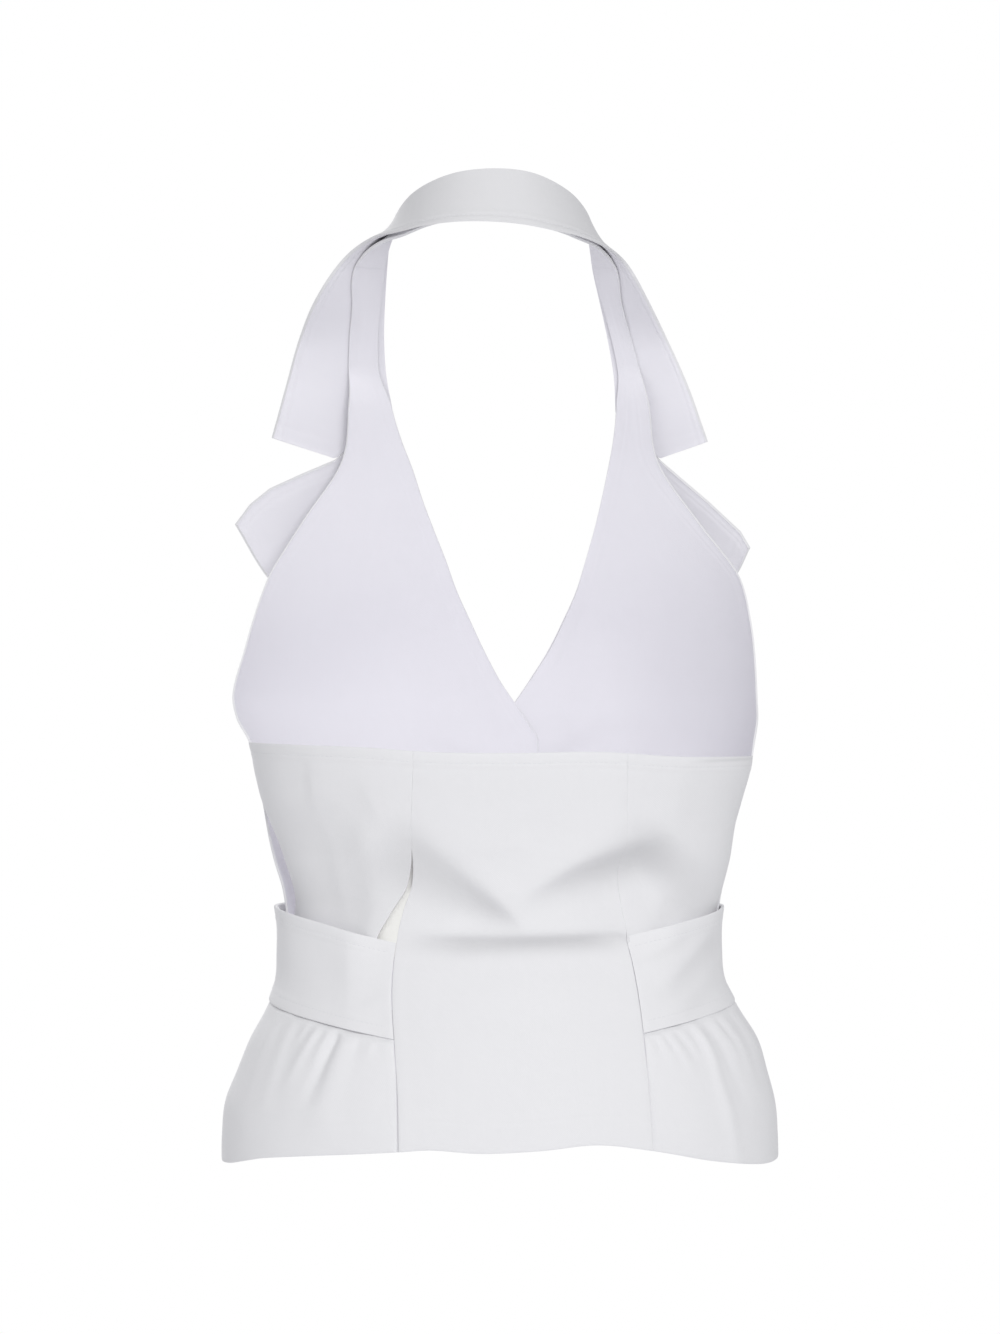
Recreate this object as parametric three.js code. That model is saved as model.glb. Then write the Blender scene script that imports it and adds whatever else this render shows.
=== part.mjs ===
// Halter neck waistcoat top in heavy white cloth, holding its worn shape with nobody in it, in millimetres.
// The front faces -Y, the wearer's left is +X and +Z is up. The origin is on the inner face of the collar
// stand at centre back, where the nape carries the garment. The pieces are those a maker cuts and sews on:
// centre back, side backs, fronts, gathered peplums, belt halves, lapels, collar fall, collar stand, buttons.
// Heights in the tables are measured up from the side hem, and depths forward or back from the side seams.
import * as THREE from "three";

// Cloth and seams
const CLOTH = 1.4; // single cloth wall
const DOUBLED = 2.0; // collar, lapels and belt are cut double
const SEAM = 0.4; // gap between two pieces at a seam
const SIDE_SEAM = 0.14; // half the gap at a side seam, in degrees round the body
const GORGE = 0.9; // gap between lapel and collar, measured down
const LAYER = 0.8; // gap between a piece and the one it lies on
const CLOTH_COLOUR = 0xe6e6ea;
const BUTTON_COLOUR = 0xdedee2;

// Front closure: the right front laps over the left one
const CENTRE_X = -8; // the closure's line, a little to the wearer's right as the body is held
const LAP = 14; // each front runs this far past the closure's line
const LAP_RISE = CLOTH + LAYER;
const LAP_FLAT = 18; // the upper front is fully raised to this far beyond the line
const LAP_FADE = 45; // and lies on the form again this far beyond it
const BREAK_Z = 236; // where the neckline leaves the front edge
const STRAP_LOW = 430; // from here up to STRAP_FULL the front turns into the strap under the collar
const STRAP_FULL = 455;
const STRAP_LEVEL = { low: 470, high: 500 }; // between these its cross lines turn square to the collar

// Bust and shoulder of a general figure
const BUST = { x: 70, z: 272, rise: 9, width: 50, height: 42 };
const SHOULDER = { neckHalf: 60, drop: 0.35, low: 380, high: 450 };

// Lapels and collar fronts lie flatter than the chest and stand clear of it
const LEAF_HALF = 230; // half width of the flatter form that they follow
const LEAF_OUT = 3.8; // their outer face in front of the fronts' at the roll line
const LEAF_SHARE = { low: 465, high: 503 }; // between these heights the collar leaves the chest

// Belt and waist seam
const BELT_OUT = 1.5; // the belt's inner face off the cloth under it
const BELT_END = 22; // each half runs this far past the closure's line
const WAIST_OVER_BELT = 16; // the waist seam lies this far above the belt's lower edge

// Buttons
const BUTTON = { radius: 7.5, thick: 3, rim: 1.4, dish: 0.7, segments: 20 };
const BUTTON_HEIGHTS = { top: 221, middle: 172, belt: 117 };

const DEG = Math.PI / 180;
const { lerp, clamp, smoothstep } = THREE.MathUtils;

// Rows with named columns.
function table(names, rows) {
  const keys = names.split(" ");
  return rows.map((row) => Object.fromEntries(keys.map((key, i) => [key, row[i]])));
}

// A column's value at a place along another column, on straight lines between the rows.
function straight(rows, by, at, key) {
  const i = clamp(rows.findIndex((row) => row[by] >= at) - 1, 0, rows.length - 2);
  return lerp(rows[i][key], rows[i + 1][key], (at - rows[i][by]) / (rows[i + 1][by] - rows[i][by]));
}

// The same on a smooth curve through the rows.
function column(rows, by, at, key) {
  const last = rows.length - 1;
  if (at <= rows[0][by]) return rows[0][key];
  if (at >= rows[last][by]) return rows[last][key];
  const i = rows.findIndex((row) => row[by] > at) - 1;
  const slope = (k) => {
    const before = rows[Math.max(k - 1, 0)];
    const after = rows[Math.min(k + 1, last)];
    return (after[key] - before[key]) / (after[by] - before[by]);
  };
  const span = rows[i + 1][by] - rows[i][by];
  const t = (at - rows[i][by]) / span;
  const a = rows[i][key];
  const b = rows[i + 1][key];
  const bend = slope(i) * span * (1 - t) - slope(i + 1) * span * t;
  return lerp(a, b, t * t * (3 - 2 * t)) + t * (1 - t) * bend;
}

// The worn form: its middle and half width, and how far front and back stand from the side seams.
const FORM = table("z middle half front back", [
  [-6, 0.3, 158.8, 110, 101],
  [14, 0.5, 158.3, 109, 100],
  [31, 0.4, 156.6, 106, 98],
  [48, -0.6, 151, 102, 94],
  [66, -1.6, 143.6, 97, 89],
  [83, -1, 133.2, 92, 83],
  [100, 0, 125.4, 89, 78],
  [117, 0, 123.4, 88, 74],
  [134, -0.4, 123, 89, 73],
  [151, -0.6, 125, 92, 75],
  [168, 0, 129.4, 96, 78],
  [185, 0.2, 133.2, 101, 82],
  [202, -0.6, 137.2, 106, 87],
  [219, -0.9, 141.4, 112, 92],
  [236, -0.4, 144.3, 117, 95],
  [248, 2, 149, 119, 96],
  [262, 3, 151.8, 122, 97],
  [288, 1, 151.5, 124, 98],
  [305, 0, 151, 124, 98],
  [331, 0, 153, 121, 98],
  [364, 0, 158, 114, 98],
  [398, 0, 163, 102, 98],
  [430, 0, 165, 86, 98],
  [454, 0, 165, 73, 98],
  [473, 0, 165, 57, 98],
  [492, 0, 165, 37, 98],
  [510, 0, 165, 15, 98],
]);

// The back's princess seams, left and right of the centre back.
const BACK_SEAMS = table("z left right", [
  [5, 57, -85.3],
  [38, 57.6, -83.1],
  [65, 59.3, -80.5],
  [93, 61.2, -77.3],
  [123, 60.2, -73.5],
  [140, 57, -72.4],
  [157, 51.6, -71.2],
  [176, 50.5, -70.1],
  [232, 48.8, -70.4],
]);

// The back's top edge, by the distance from the middle of the form.
const BACK_TOP = table("x z", [
  [-144, 227.5],
  [-100, 228],
  [-55, 231],
  [-7, 230.5],
  [39, 231],
  [78, 233.5],
  [112, 234.5],
  [144, 235.5],
]);

// The hem's height round the body, in degrees from centre front over the left side.
const HEM = table("angle z", [
  [-10, 3],
  [45, 1],
  [88, -3],
  [104, -2.6],
  [115, 0.2],
  [124, 3],
  [158, 9],
  [166, 10.6],
  [176, 9],
  [188, 10.4],
  [200, 13.2],
  [212, 9.4],
  [229, 2],
  [248, -2],
  [268, -1.2],
  [310, 1],
  [370, 3],
]);

// The belt's edges, and how far its upper edge stands off the cloth on each side, in degrees from centre front.
const BELT = table("angle low high left right", [
  [0, 90, 143, 0, 0],
  [50, 90, 143, 0.8, 0.4],
  [78, 89.5, 142.7, 3.2, 0.5],
  [95, 88, 141.5, 3.8, 0.5],
  [125, 80.5, 134, 1.4, 0.2],
  [152, 70.5, 123, 0, 0],
]);
const BELT_LOW_SHARE = 0.1; // its lower edge stands off this share as far

// The largest creases of the back, as troughs from one point to another across the cloth.
const CREASES = table("x0 z0 x1 z1 width depth", [
  [43, 180, 16, 158, 9, 2.6],
  [18, 160, -6, 137, 9, 3.4],
  [-14, 146, -42, 165, 9, 3.8],
  [-42, 165, -84, 175, 9, 4.6],
  [-84, 174, -122, 143, 10, 3.2],
  [45, 123, -64, 122.5, 8, 3.6],
  [98, 190, 60, 152, 12, 2.6],
  [118, 205, 112, 160, 10, 1.6],
]);

// Gathers of each peplum below the belt: ridges, and troughs where rise is below zero.
const GATHERS = {
  left: table("angle spread rise reach drift", [
    [149, 1.4, 2.0, 28, 0],
    [146.2, 1.3, -1.6, 24, 0],
    [142.8, 1.6, 2.6, 46, 0],
    [138, 1.9, -3.6, 70, -1],
    [133, 2.0, 3.0, 84, -1],
    [128, 2.0, -2.6, 100, 0],
    [122.6, 2.4, 2.6, 70, 1],
    [117, 2.4, -2.0, 56, 1],
    [110.5, 2.8, 1.8, 60, 1],
  ]),
  right: table("angle spread rise reach drift", [
    [142.4, 1.4, 1.8, 26, -1],
    [139.6, 1.3, -1.5, 26, -1],
    [136.8, 1.4, 2.2, 36, -2],
    [133.9, 1.4, -2.0, 46, -4],
    [130.6, 1.9, 3.4, 96, -7],
    [126, 2.0, -3.2, 100, -6],
    [120.6, 2.2, 2.4, 64, -5],
    [115, 2.2, -1.8, 56, -4],
    [109, 2.6, 1.5, 60, -2],
  ]),
};

// The fronts' neckline, which is the lapels' roll line above the break.
const NECKLINE = table("z left right", [
  [236, -22, 6],
  [257, -8, -8],
  [270, 0.6, -16.6],
  [288, 10, -27.8],
  [306, 18.3, -36.7],
  [323, 26, -44.3],
  [341, 32.5, -49.8],
  [359, 39.6, -54.9],
  [376, 46, -58.9],
  [394, 51.8, -62.6],
  [411, 58.3, -65.6],
  [428, 63.3, -67.2],
  [451, 67.6, -66.2],
  [470, 68.1, -62],
  [490, 67.4, -57.5],
]);

// The fronts' armhole edge, from the side seam up to the strap.
const ARMHOLE = table("z left right", [
  [236, 143.2, -144],
  [248, 150.4, -146.2],
  [262, 153.7, -147],
  [288, 147.8, -146],
  [305, 143.3, -144.2],
  [323, 137.6, -141],
  [335, 132.8, -136],
  [364, 115.5, -114.5],
  [398, 93.5, -92],
  [430, 89, -86.5],
  [460, 88, -81.5],
]);

// The collar's fall, from its left front end over the nape to its right one: its roll line and outer edge.
const FALL = table("row rollX rollY rollZ edgeX edgeY edgeZ", [
  [0, 63.8, -88, 429.5, 134, -66, 411.8],
  [1, 67.2, -76, 449, 124.9, -50, 443],
  [2, 68.1, -58, 469.5, 117.3, -34, 467.5],
  [3, 67.4, -39, 489.7, 107.2, -17, 488.4],
  [4, 65.9, -18, 508.7, 90.5, 3, 510.3],
  [5, 63.7, 5, 525.5, 73.6, 27, 520.6],
  [6, 56.4, 27, 538.8, 56.9, 49, 522.6],
  [7, 45.2, 46, 547.6, 41.3, 64, 525],
  [8, 26.8, 61, 554.2, 24, 73, 526.2],
  [9, 6, 66, 556.4, 6, 76, 526],
  [10, -14.3, 61.5, 555.2, -12, 73, 524.6],
  [11, -30.7, 48.5, 550, -28.5, 66, 522],
  [12, -43.6, 30, 541.8, -44.2, 52, 519.6],
  [13, -51.8, 8, 529.2, -59.4, 31, 515.4],
  [14, -52.8, -16, 510.2, -71.8, 4, 508],
  [15, -57.5, -39, 489.7, -84.2, -16, 489.6],
  [16, -62, -58, 470, -96.4, -34, 468.4],
  [17, -65.9, -76, 449, -109.2, -50, 441.5],
  [18, -67.3, -87, 427.2, -121, -66, 409.7],
]);
// How far across the fall each strap reaches under it, by rows from its front end.
const STRAP = table("row share", [
  [0, 0.33],
  [1, 0.38],
  [2, 0.41],
  [3, 0.48],
  [4, 0.72],
  [6, 0.72],
]);
const STRAP_ROW = 4; // the straps meet the stand at this row from either end
const FALL_END = FALL.length - 1;
// The notch bends each end of the fall, by x and z, at a share of its width.
const NOTCH = {
  share: 0.555,
  rows: 2.4,
  left: { x: -5.3, z: -19.3 },
  right: { x: 4, z: -17.2 },
};

// The lapels' corners: gorge, notch and tip, then the outer edge down to the break.
const LAPEL_TOP = {
  left: table("share x z", [
    [0, 63.8, 429.5],
    [0.36, 97.2, 400.4],
    [0.56, 117.7, 391.6],
    [0.74, 135.3, 383.4],
    [0.87, 146.9, 374],
    [1, 155.6, 362.2],
  ]),
  right: table("share x z", [
    [0, -67.3, 427.2],
    [0.36, -93.1, 400.3],
    [0.68, -121.8, 375.8],
    [0.93, -140.5, 358.2],
    [1, -146, 348.7],
  ]),
};
const LAPEL_OUTER = {
  left: table("share x z", [
    [0, 155.6, 362.2],
    [0.2, 137, 331],
    [0.48, 104, 296],
    [0.76, 60, 272],
    [1, 15, 260],
  ]),
  right: table("share x z", [
    [0, -146, 348.7],
    [0.14, -137, 331],
    [0.42, -107, 298],
    [0.74, -56, 264],
    [1, -5, 233],
  ]),
};
const LAPEL_LOW = { left: 262, right: 239 }; // where each roll line ends

const sideSign = (side) => (side === "left" ? 1 : -1);
const formAt = (z, key) => column(FORM, "z", z, key);
const xAt = (angle, z) => formAt(z, "middle") + formAt(z, "half") * Math.sin(angle * DEG);
const frontAngle = (x, z) => Math.asin(clamp((x - formAt(z, "middle")) / formAt(z, "half"), -1, 1)) / DEG;
const backAngle = (x, z) => 180 - frontAngle(x, z);

// How far a crease takes a point of the back into the body.
function creaseAt(x, z) {
  let depth = 0;
  for (const crease of CREASES) {
    const start = new THREE.Vector2(crease.x0, crease.z0);
    const along = new THREE.Vector2(crease.x1, crease.z1).sub(start);
    const toPoint = new THREE.Vector2(x, z).sub(start);
    const share = clamp(toPoint.dot(along) / along.lengthSq(), 0, 1);
    const away = toPoint.sub(along.multiplyScalar(share)).length() / crease.width;
    const ends = 0.35 + 0.65 * Math.sin(Math.PI * clamp(share, 0.08, 0.92));
    depth += crease.depth * ends * Math.exp(-away * away);
  }
  return depth;
}

// A point of the cloth's outer face at an angle round the form and a height, raised off the form by lift.
function bodyAt(angle, z, lift = 0) {
  const turn = angle * DEG;
  const half = formAt(z, "half");
  const x = xAt(angle, z);
  const facing = Math.cos(turn);
  const isFront = facing > 0;
  const overShoulder = Math.max(0, Math.abs(x) - SHOULDER.neckHalf) * SHOULDER.drop;
  const level = z + overShoulder * smoothstep(z, SHOULDER.low, SHOULDER.high);
  const depth = formAt(isFront ? level : z, isFront ? "front" : "back");
  let rise = lift;
  if (isFront) {
    const across = (Math.abs(x) - BUST.x) / BUST.width;
    const up = (z - BUST.z) / BUST.height;
    rise += BUST.rise * Math.exp(-across * across - up * up) * facing;
  } else {
    rise -= creaseAt(x, z);
  }
  const normal = new THREE.Vector3(Math.sin(turn) / half, -facing / Math.max(depth, half / 2), 0);
  return new THREE.Vector3(x, -depth * facing, z).addScaledVector(normal.normalize(), rise);
}

// The right front is raised where it laps over the left one.
function lapRise(side, x) {
  const beyond = CENTRE_X - x;
  return side === "right" ? LAP_RISE * (1 - smoothstep(beyond, LAP_FLAT, LAP_FADE)) : 0;
}

const frontAt = (side, x, z) => bodyAt(frontAngle(x, z), z, lapRise(side, x));
const rollX = (side, z) => column(NECKLINE, "z", z, side);

// The larger of two values, rounded over where they are close.
function smoothLarger(a, b, blend) {
  const share = clamp(0.5 + (a - b) / blend / 2, 0, 1);
  return lerp(b, a, share) + blend * share * (1 - share);
}

// How far forward the outer face of a lapel or collar front lies on the chest.
function leafDepth(side, x, z) {
  const roll = rollX(side, z);
  const flat = (place) => Math.sqrt(1 - (place / LEAF_HALF) ** 2);
  const overShoulder = Math.max(0, Math.abs(x) - SHOULDER.neckHalf) * SHOULDER.drop;
  const level = z + overShoulder * smoothstep(z, SHOULDER.low, SHOULDER.high);
  const back = formAt(level, "front") * (flat(roll) - flat(x));
  const forward = LEAF_OUT - frontAt(side, roll, z).y - back;
  const clear = DOUBLED + 2 * LAYER - frontAt(side, x, z).y;
  return -smoothLarger(forward, clear, 1.5);
}

// A point of the collar's fall: row 0 is its left front end, and share runs from the roll line to the edge.
// The straps under it have no notch.
function fallAt(row, share, isStrap = false) {
  const read = (key) => column(FALL, "row", row, key);
  const point = new THREE.Vector3(
    lerp(read("rollX"), read("edgeX"), share),
    lerp(read("rollY"), read("edgeY"), share),
    lerp(read("rollZ"), read("edgeZ"), share),
  );
  const side = row < FALL_END / 2 ? "left" : "right";
  const notch = NOTCH[side];
  const fromEnd = Math.min(row, FALL_END - row);
  const near = isStrap ? 0 : Math.max(0, 1 - fromEnd / NOTCH.rows) ** 2;
  const bend = share < NOTCH.share ? share / NOTCH.share : (1 - share) / (1 - NOTCH.share);
  point.x += notch.x * near * bend;
  point.z += notch.z * near * bend;
  if (fromEnd < STRAP_ROW) {
    const onChest = 1 - smoothstep(read("rollZ"), LEAF_SHARE.low, LEAF_SHARE.high);
    point.y = lerp(point.y, leafDepth(side, point.x, point.z), onChest);
  }
  return point;
}

// The same point moved in towards the wearer, square to the fall.
function underFall(row, share, depth, isStrap = false) {
  const step = 0.05;
  const at = (r, s) => fallAt(r, s, isStrap);
  const along = at(row + step, share).sub(at(row - step, share));
  const up = at(row, share - step).sub(at(row, share + step));
  return at(row, share).addScaledVector(along.cross(up).normalize(), -depth);
}

// The row of the fall that lies over a height, at a share of its width.
function rowOver(side, z, share) {
  const step = side === "left" ? 1 : -1;
  const across = share * (1 - smoothstep(z, STRAP_LEVEL.low, STRAP_LEVEL.high));
  const height = (row) => lerp(FALL[row].rollZ, FALL[row].edgeZ, across);
  let from = side === "left" ? 0 : FALL_END;
  while (fromEndRow(from + step) < STRAP_ROW && height(from + step) < z) from += step;
  const low = height(from);
  return from + (step * (z - low)) / (height(from + step) - low);
}
const fromEndRow = (row) => Math.min(row, FALL_END - row);
const strapShare = (row) => column(STRAP, "row", fromEndRow(row), "share");

// A closed wall of cloth. place(u, v) gives its outer face, with u counter-clockwise round the body seen from
// above and v up, and the inner face lies one thickness inside it.
function wall(name, us, vs, place, thickness) {
  const across = us.length;
  const up = vs.length;
  const outer = vs.map((v) => us.map((u) => place(u, v)));
  const clampTo = (i, n) => clamp(i, 0, n - 1);
  const positions = [];
  for (const row of outer) for (const p of row) positions.push(p.x, p.y, p.z);
  for (let j = 0; j < up; j++) {
    for (let i = 0; i < across; i++) {
      const du = outer[j][clampTo(i + 1, across)].clone().sub(outer[j][clampTo(i - 1, across)]);
      const dv = outer[clampTo(j + 1, up)][i].clone().sub(outer[clampTo(j - 1, up)][i]);
      const p = outer[j][i].clone().addScaledVector(du.cross(dv).normalize(), -thickness);
      positions.push(p.x, p.y, p.z);
    }
  }
  const out = (i, j) => j * across + i;
  const inn = (i, j) => across * up + out(i, j);
  const faces = [];
  const quad = (a, b, c, d) => faces.push(a, b, c, a, c, d);
  // Each square is cut along the diagonal that lies nearer the cloth's own face.
  const miss = (middle, a, b) => a.clone().add(b).multiplyScalar(0.5).distanceTo(middle);
  for (let j = 0; j < up - 1; j++) {
    for (let i = 0; i < across - 1; i++) {
      const middle = place((us[i] + us[i + 1]) / 2, (vs[j] + vs[j + 1]) / 2);
      const rising = miss(middle, outer[j][i], outer[j + 1][i + 1]);
      const falling = miss(middle, outer[j][i + 1], outer[j + 1][i]);
      if (rising <= falling) {
        quad(out(i, j), out(i + 1, j), out(i + 1, j + 1), out(i, j + 1));
        quad(inn(i + 1, j + 1), inn(i + 1, j), inn(i, j), inn(i, j + 1));
      } else {
        quad(out(i + 1, j), out(i + 1, j + 1), out(i, j + 1), out(i, j));
        quad(inn(i + 1, j), inn(i, j), inn(i, j + 1), inn(i + 1, j + 1));
      }
    }
  }
  for (let i = 0; i < across - 1; i++) {
    quad(out(i, 0), inn(i, 0), inn(i + 1, 0), out(i + 1, 0));
    quad(out(i, up - 1), out(i + 1, up - 1), inn(i + 1, up - 1), inn(i, up - 1));
  }
  for (let j = 0; j < up - 1; j++) {
    quad(out(0, j), out(0, j + 1), inn(0, j + 1), inn(0, j));
    quad(out(across - 1, j), inn(across - 1, j), inn(across - 1, j + 1), out(across - 1, j + 1));
  }
  const geometry = new THREE.BufferGeometry();
  geometry.setAttribute("position", new THREE.Float32BufferAttribute(positions, 3));
  geometry.setIndex(faces);
  geometry.computeVertexNormals();
  const material = new THREE.MeshStandardMaterial({ color: CLOTH_COLOUR, roughness: 0.85, metalness: 0 });
  const mesh = new THREE.Mesh(geometry, material);
  mesh.name = name;
  return mesh;
}

const steps = (count) => Array.from({ length: count + 1 }, (_, i) => i / count);

// Belt edges, waist seam and hem at an angle; 360 less an angle is the same place on the other side.
const fromFront = (angle) => Math.abs(angle > 180 ? 360 - angle : angle);
const beltAt = (angle, key) => column(BELT, "angle", fromFront(angle), key);
const waistSeam = (angle) => beltAt(angle, "low") + WAIST_OVER_BELT;
const hemAt = (angle) => column(HEM, "angle", angle, "z");
const backTop = (x) => column(BACK_TOP, "x", x, "z");
const seamX = (side, z) => column(BACK_SEAMS, "z", z, side);

// Centre back, cut in one from the top edge to the hem.
const CENTRE_ROWS = [0, 0.09, 0.18, 0.27, 0.36, 0.42, 0.455, 0.48, 0.505, 0.53, 0.555, 0.58, 0.605, 0.63]
  .concat([0.655, 0.68, 0.705, 0.73, 0.755, 0.785, 0.82, 0.87, 0.93, 1]);
function centreBack() {
  const place = (u, v) => {
    const across = (z) => lerp(seamX("left", z) - SEAM / 2, seamX("right", z) + SEAM / 2, u);
    const low = hemAt(backAngle(across(10), 10));
    const high = backTop(across(230));
    const z = lerp(low, high, v);
    return bodyAt(backAngle(across(z), z), z);
  };
  return wall("centre_back", steps(20), CENTRE_ROWS, place, CLOTH);
}

// Side back, from the princess seam to the side seam and from the waist seam to the top edge.
function sideBack(side) {
  const sign = sideSign(side);
  const place = (u, v) => {
    const round = side === "left" ? u : 1 - u;
    const angleAt = (z) => {
      const seam = backAngle(seamX(side, z) + (sign * SEAM) / 2, z);
      const sideSeam = side === "left" ? 90 + SIDE_SEAM : 270 - SIDE_SEAM;
      return lerp(sideSeam, seam, round);
    };
    const low = waistSeam(angleAt(100)) + SEAM / 2;
    const high = backTop(xAt(angleAt(230), 230));
    const z = lerp(low, high, v);
    return bodyAt(angleAt(z), z);
  };
  return wall("side_back_" + side, steps(10), steps(15), place, CLOTH);
}

// Front, from the waist seam up over the bust into the strap that ends under the collar.
const STRAP_GAP = 0.02; // in rows of the fall, short of the stand's end
const STRAP_INSET = 0.07; // the neck edge lies this share of the fall's width under its roll line
function front(side) {
  const sign = sideSign(side);
  const strapTop = FALL[side === "left" ? STRAP_ROW : FALL_END - STRAP_ROW].rollZ;
  const place = (u, v) => {
    const fromEdge = side === "left" ? u : 1 - u;
    const edgeAt = (z) => (z < BREAK_Z ? CENTRE_X - sign * LAP : rollX(side, z));
    const outerAt = (z) => {
      if (z < BREAK_Z) return xAt(sign * (90 - SIDE_SEAM), z);
      return column(ARMHOLE, "z", z, side) - (sign * SEAM) / 4;
    };
    const angleAt = (z) => lerp(frontAngle(edgeAt(z), z), frontAngle(outerAt(z), z), fromEdge);
    const low = waistSeam(angleAt(100)) + SEAM / 2;
    const z = lerp(low, strapTop, v);
    const body = Math.min(z, STRAP_FULL);
    const onChest = bodyAt(angleAt(body), body, lapRise(side, xAt(angleAt(body), body)));
    if (z <= STRAP_LOW) return onChest;
    const share = lerp(STRAP_INSET, strapShare(rowOver(side, z, 0.2)), fromEdge);
    const row = rowOver(side, z, share) - sign * STRAP_GAP;
    const strap = underFall(row, share, DOUBLED + LAYER, true);
    return onChest.lerp(strap, smoothstep(z, STRAP_LOW, STRAP_FULL));
  };
  return wall("front_" + side, steps(12), steps(26), place, CLOTH);
}

// How far the gathers raise a peplum at an angle and a height, with the fullness that they give it.
const FULLNESS = 1.6;
function gatherAt(side, angle, z) {
  const below = beltAt(angle, "low") - z;
  const gathered = smoothstep(fromFront(angle), 70, 100);
  let rise = FULLNESS * gathered * smoothstep(below, 0, 8) * (1 - smoothstep(below, 8, 36));
  for (const gather of GATHERS[side]) {
    const down = clamp(below / gather.reach, 0, 1);
    const away = (fromFront(angle) - gather.angle - gather.drift * down) / gather.spread / (1 + 0.7 * down);
    rise += gather.rise * Math.exp(-away * away) * smoothstep(below, 0, 9) * (1 - down * down);
  }
  return rise;
}

// Peplum, from the front edge round to the back's princess seam, gathered under the belt.
const PEPLUM_ROWS = [0, 0.18, 0.34, 0.47, 0.58, 0.67, 0.75, 0.825, 1];
const PEPLUM_COLUMNS = 66;
const FRONT_SHARE = 18 / PEPLUM_COLUMNS; // columns of the plain front part
const GATHERED_FROM = 98;
function peplum(side) {
  const sign = sideSign(side);
  const place = (u, v) => {
    const fromEdge = side === "left" ? u : 1 - u;
    const angleAt = (z) => {
      const edge = sign * frontAngle(CENTRE_X - sign * LAP, z);
      const seam = 180 - sign * frontAngle(seamX(side, z) + (sign * SEAM) / 2, z);
      const inFront = fromEdge < FRONT_SHARE;
      const angle = inFront
        ? lerp(edge, GATHERED_FROM, fromEdge / FRONT_SHARE)
        : lerp(GATHERED_FROM, seam, (fromEdge - FRONT_SHARE) / (1 - FRONT_SHARE));
      return side === "left" ? angle : 360 - angle;
    };
    const low = hemAt(angleAt(5));
    const high = waistSeam(angleAt(95)) - SEAM / 2;
    const z = lerp(low, high, v);
    const angle = angleAt(z);
    const lap = fromFront(angle) < 60 ? lapRise(side, xAt(angle, z)) : 0;
    return bodyAt(angle, z, lap + gatherAt(side, angle, z));
  };
  return wall("peplum_" + side, steps(PEPLUM_COLUMNS), PEPLUM_ROWS, place, CLOTH);
}

// How far a belt half's outer face stands off the form.
function beltOut(side, angle, x, up) {
  const beyond = CENTRE_X - x;
  let out = BELT_OUT + DOUBLED + beltAt(angle, side) * lerp(BELT_LOW_SHARE, 1, up);
  if (fromFront(angle) > 70) return out;
  if (side === "left") out += LAP_RISE * (1 - smoothstep(-beyond, LAP_FLAT, LAP_FADE));
  else {
    out += LAP_RISE * (1 - smoothstep(beyond, LAP_FLAT, LAP_FADE));
    out += (DOUBLED + LAYER) * (1 - smoothstep(beyond, BELT_END + 6, BELT_END + 34));
  }
  return out;
}

// Belt half, sewn into the back's princess seam and lapped over the other half at the closure.
function belt(side) {
  const sign = sideSign(side);
  const place = (u, v) => {
    const fromEnd = side === "left" ? u : 1 - u;
    const angleAt = (z) => {
      const end = sign * frontAngle(CENTRE_X - sign * BELT_END, z);
      const seam = 180 - sign * frontAngle(seamX(side, z) + sign * SEAM, z);
      const angle = lerp(end, seam, fromEnd);
      return side === "left" ? angle : 360 - angle;
    };
    const middle = angleAt(110);
    const z = lerp(beltAt(middle, "low"), beltAt(middle, "high"), v);
    const angle = angleAt(z);
    return bodyAt(angle, z, beltOut(side, angle, xAt(angle, z), v));
  };
  return wall("belt_" + side, steps(28), steps(4), place, DOUBLED);
}

// Lapel, cut to its gorge, notch, tip and outer edge, and folded out along the roll line.
const LAPEL_COLUMNS = [0, 0.12, 0.24, 0.36, 0.5, 0.62, 0.74, 0.87, 1];
function lapel(side) {
  const sign = sideSign(side);
  const topEdge = LAPEL_TOP[side];
  const outerEdge = LAPEL_OUTER[side];
  const place = (u, v) => {
    const out = side === "left" ? u : 1 - u;
    const down = 1 - v;
    const topZ = topEdge[0].z;
    const rollZ = lerp(topZ, LAPEL_LOW[side], down);
    const roll = { x: rollX(side, rollZ), z: rollZ };
    const rollEnd = { x: rollX(side, LAPEL_LOW[side]), z: LAPEL_LOW[side] };
    const outer = { x: column(outerEdge, "share", down, "x"), z: column(outerEdge, "share", down, "z") };
    const top = { x: straight(topEdge, "share", out, "x"), z: straight(topEdge, "share", out, "z") };
    const tip = topEdge[topEdge.length - 1];
    const end = outerEdge[outerEdge.length - 1];
    const between = (key) => {
      const rows = lerp(roll[key], outer[key], out);
      const bottom = lerp(rollEnd[key], end[key], out);
      const rails = lerp(top[key], bottom, down);
      const gorge = lerp(topEdge[0][key], tip[key], out);
      return rows + rails - lerp(gorge, bottom, down);
    };
    const x = between("x");
    const z = between("z") - GORGE * v;
    return new THREE.Vector3(x + (sign * SEAM) / 2, leafDepth(side, x, z), z);
  };
  return wall("lapel_" + side, LAPEL_COLUMNS, steps(13), place, DOUBLED);
}

// Collar fall, from the left front point over the nape to the right front point.
const FALL_SHARES = [1, 0.86, 0.7, 0.555, 0.37, 0.18, 0];
function collarFall() {
  const place = (u, v) => fallAt(u * FALL_END, v);
  const mesh = wall("collar_fall", steps(46), FALL_SHARES, place, DOUBLED);
  return mesh;
}

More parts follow.
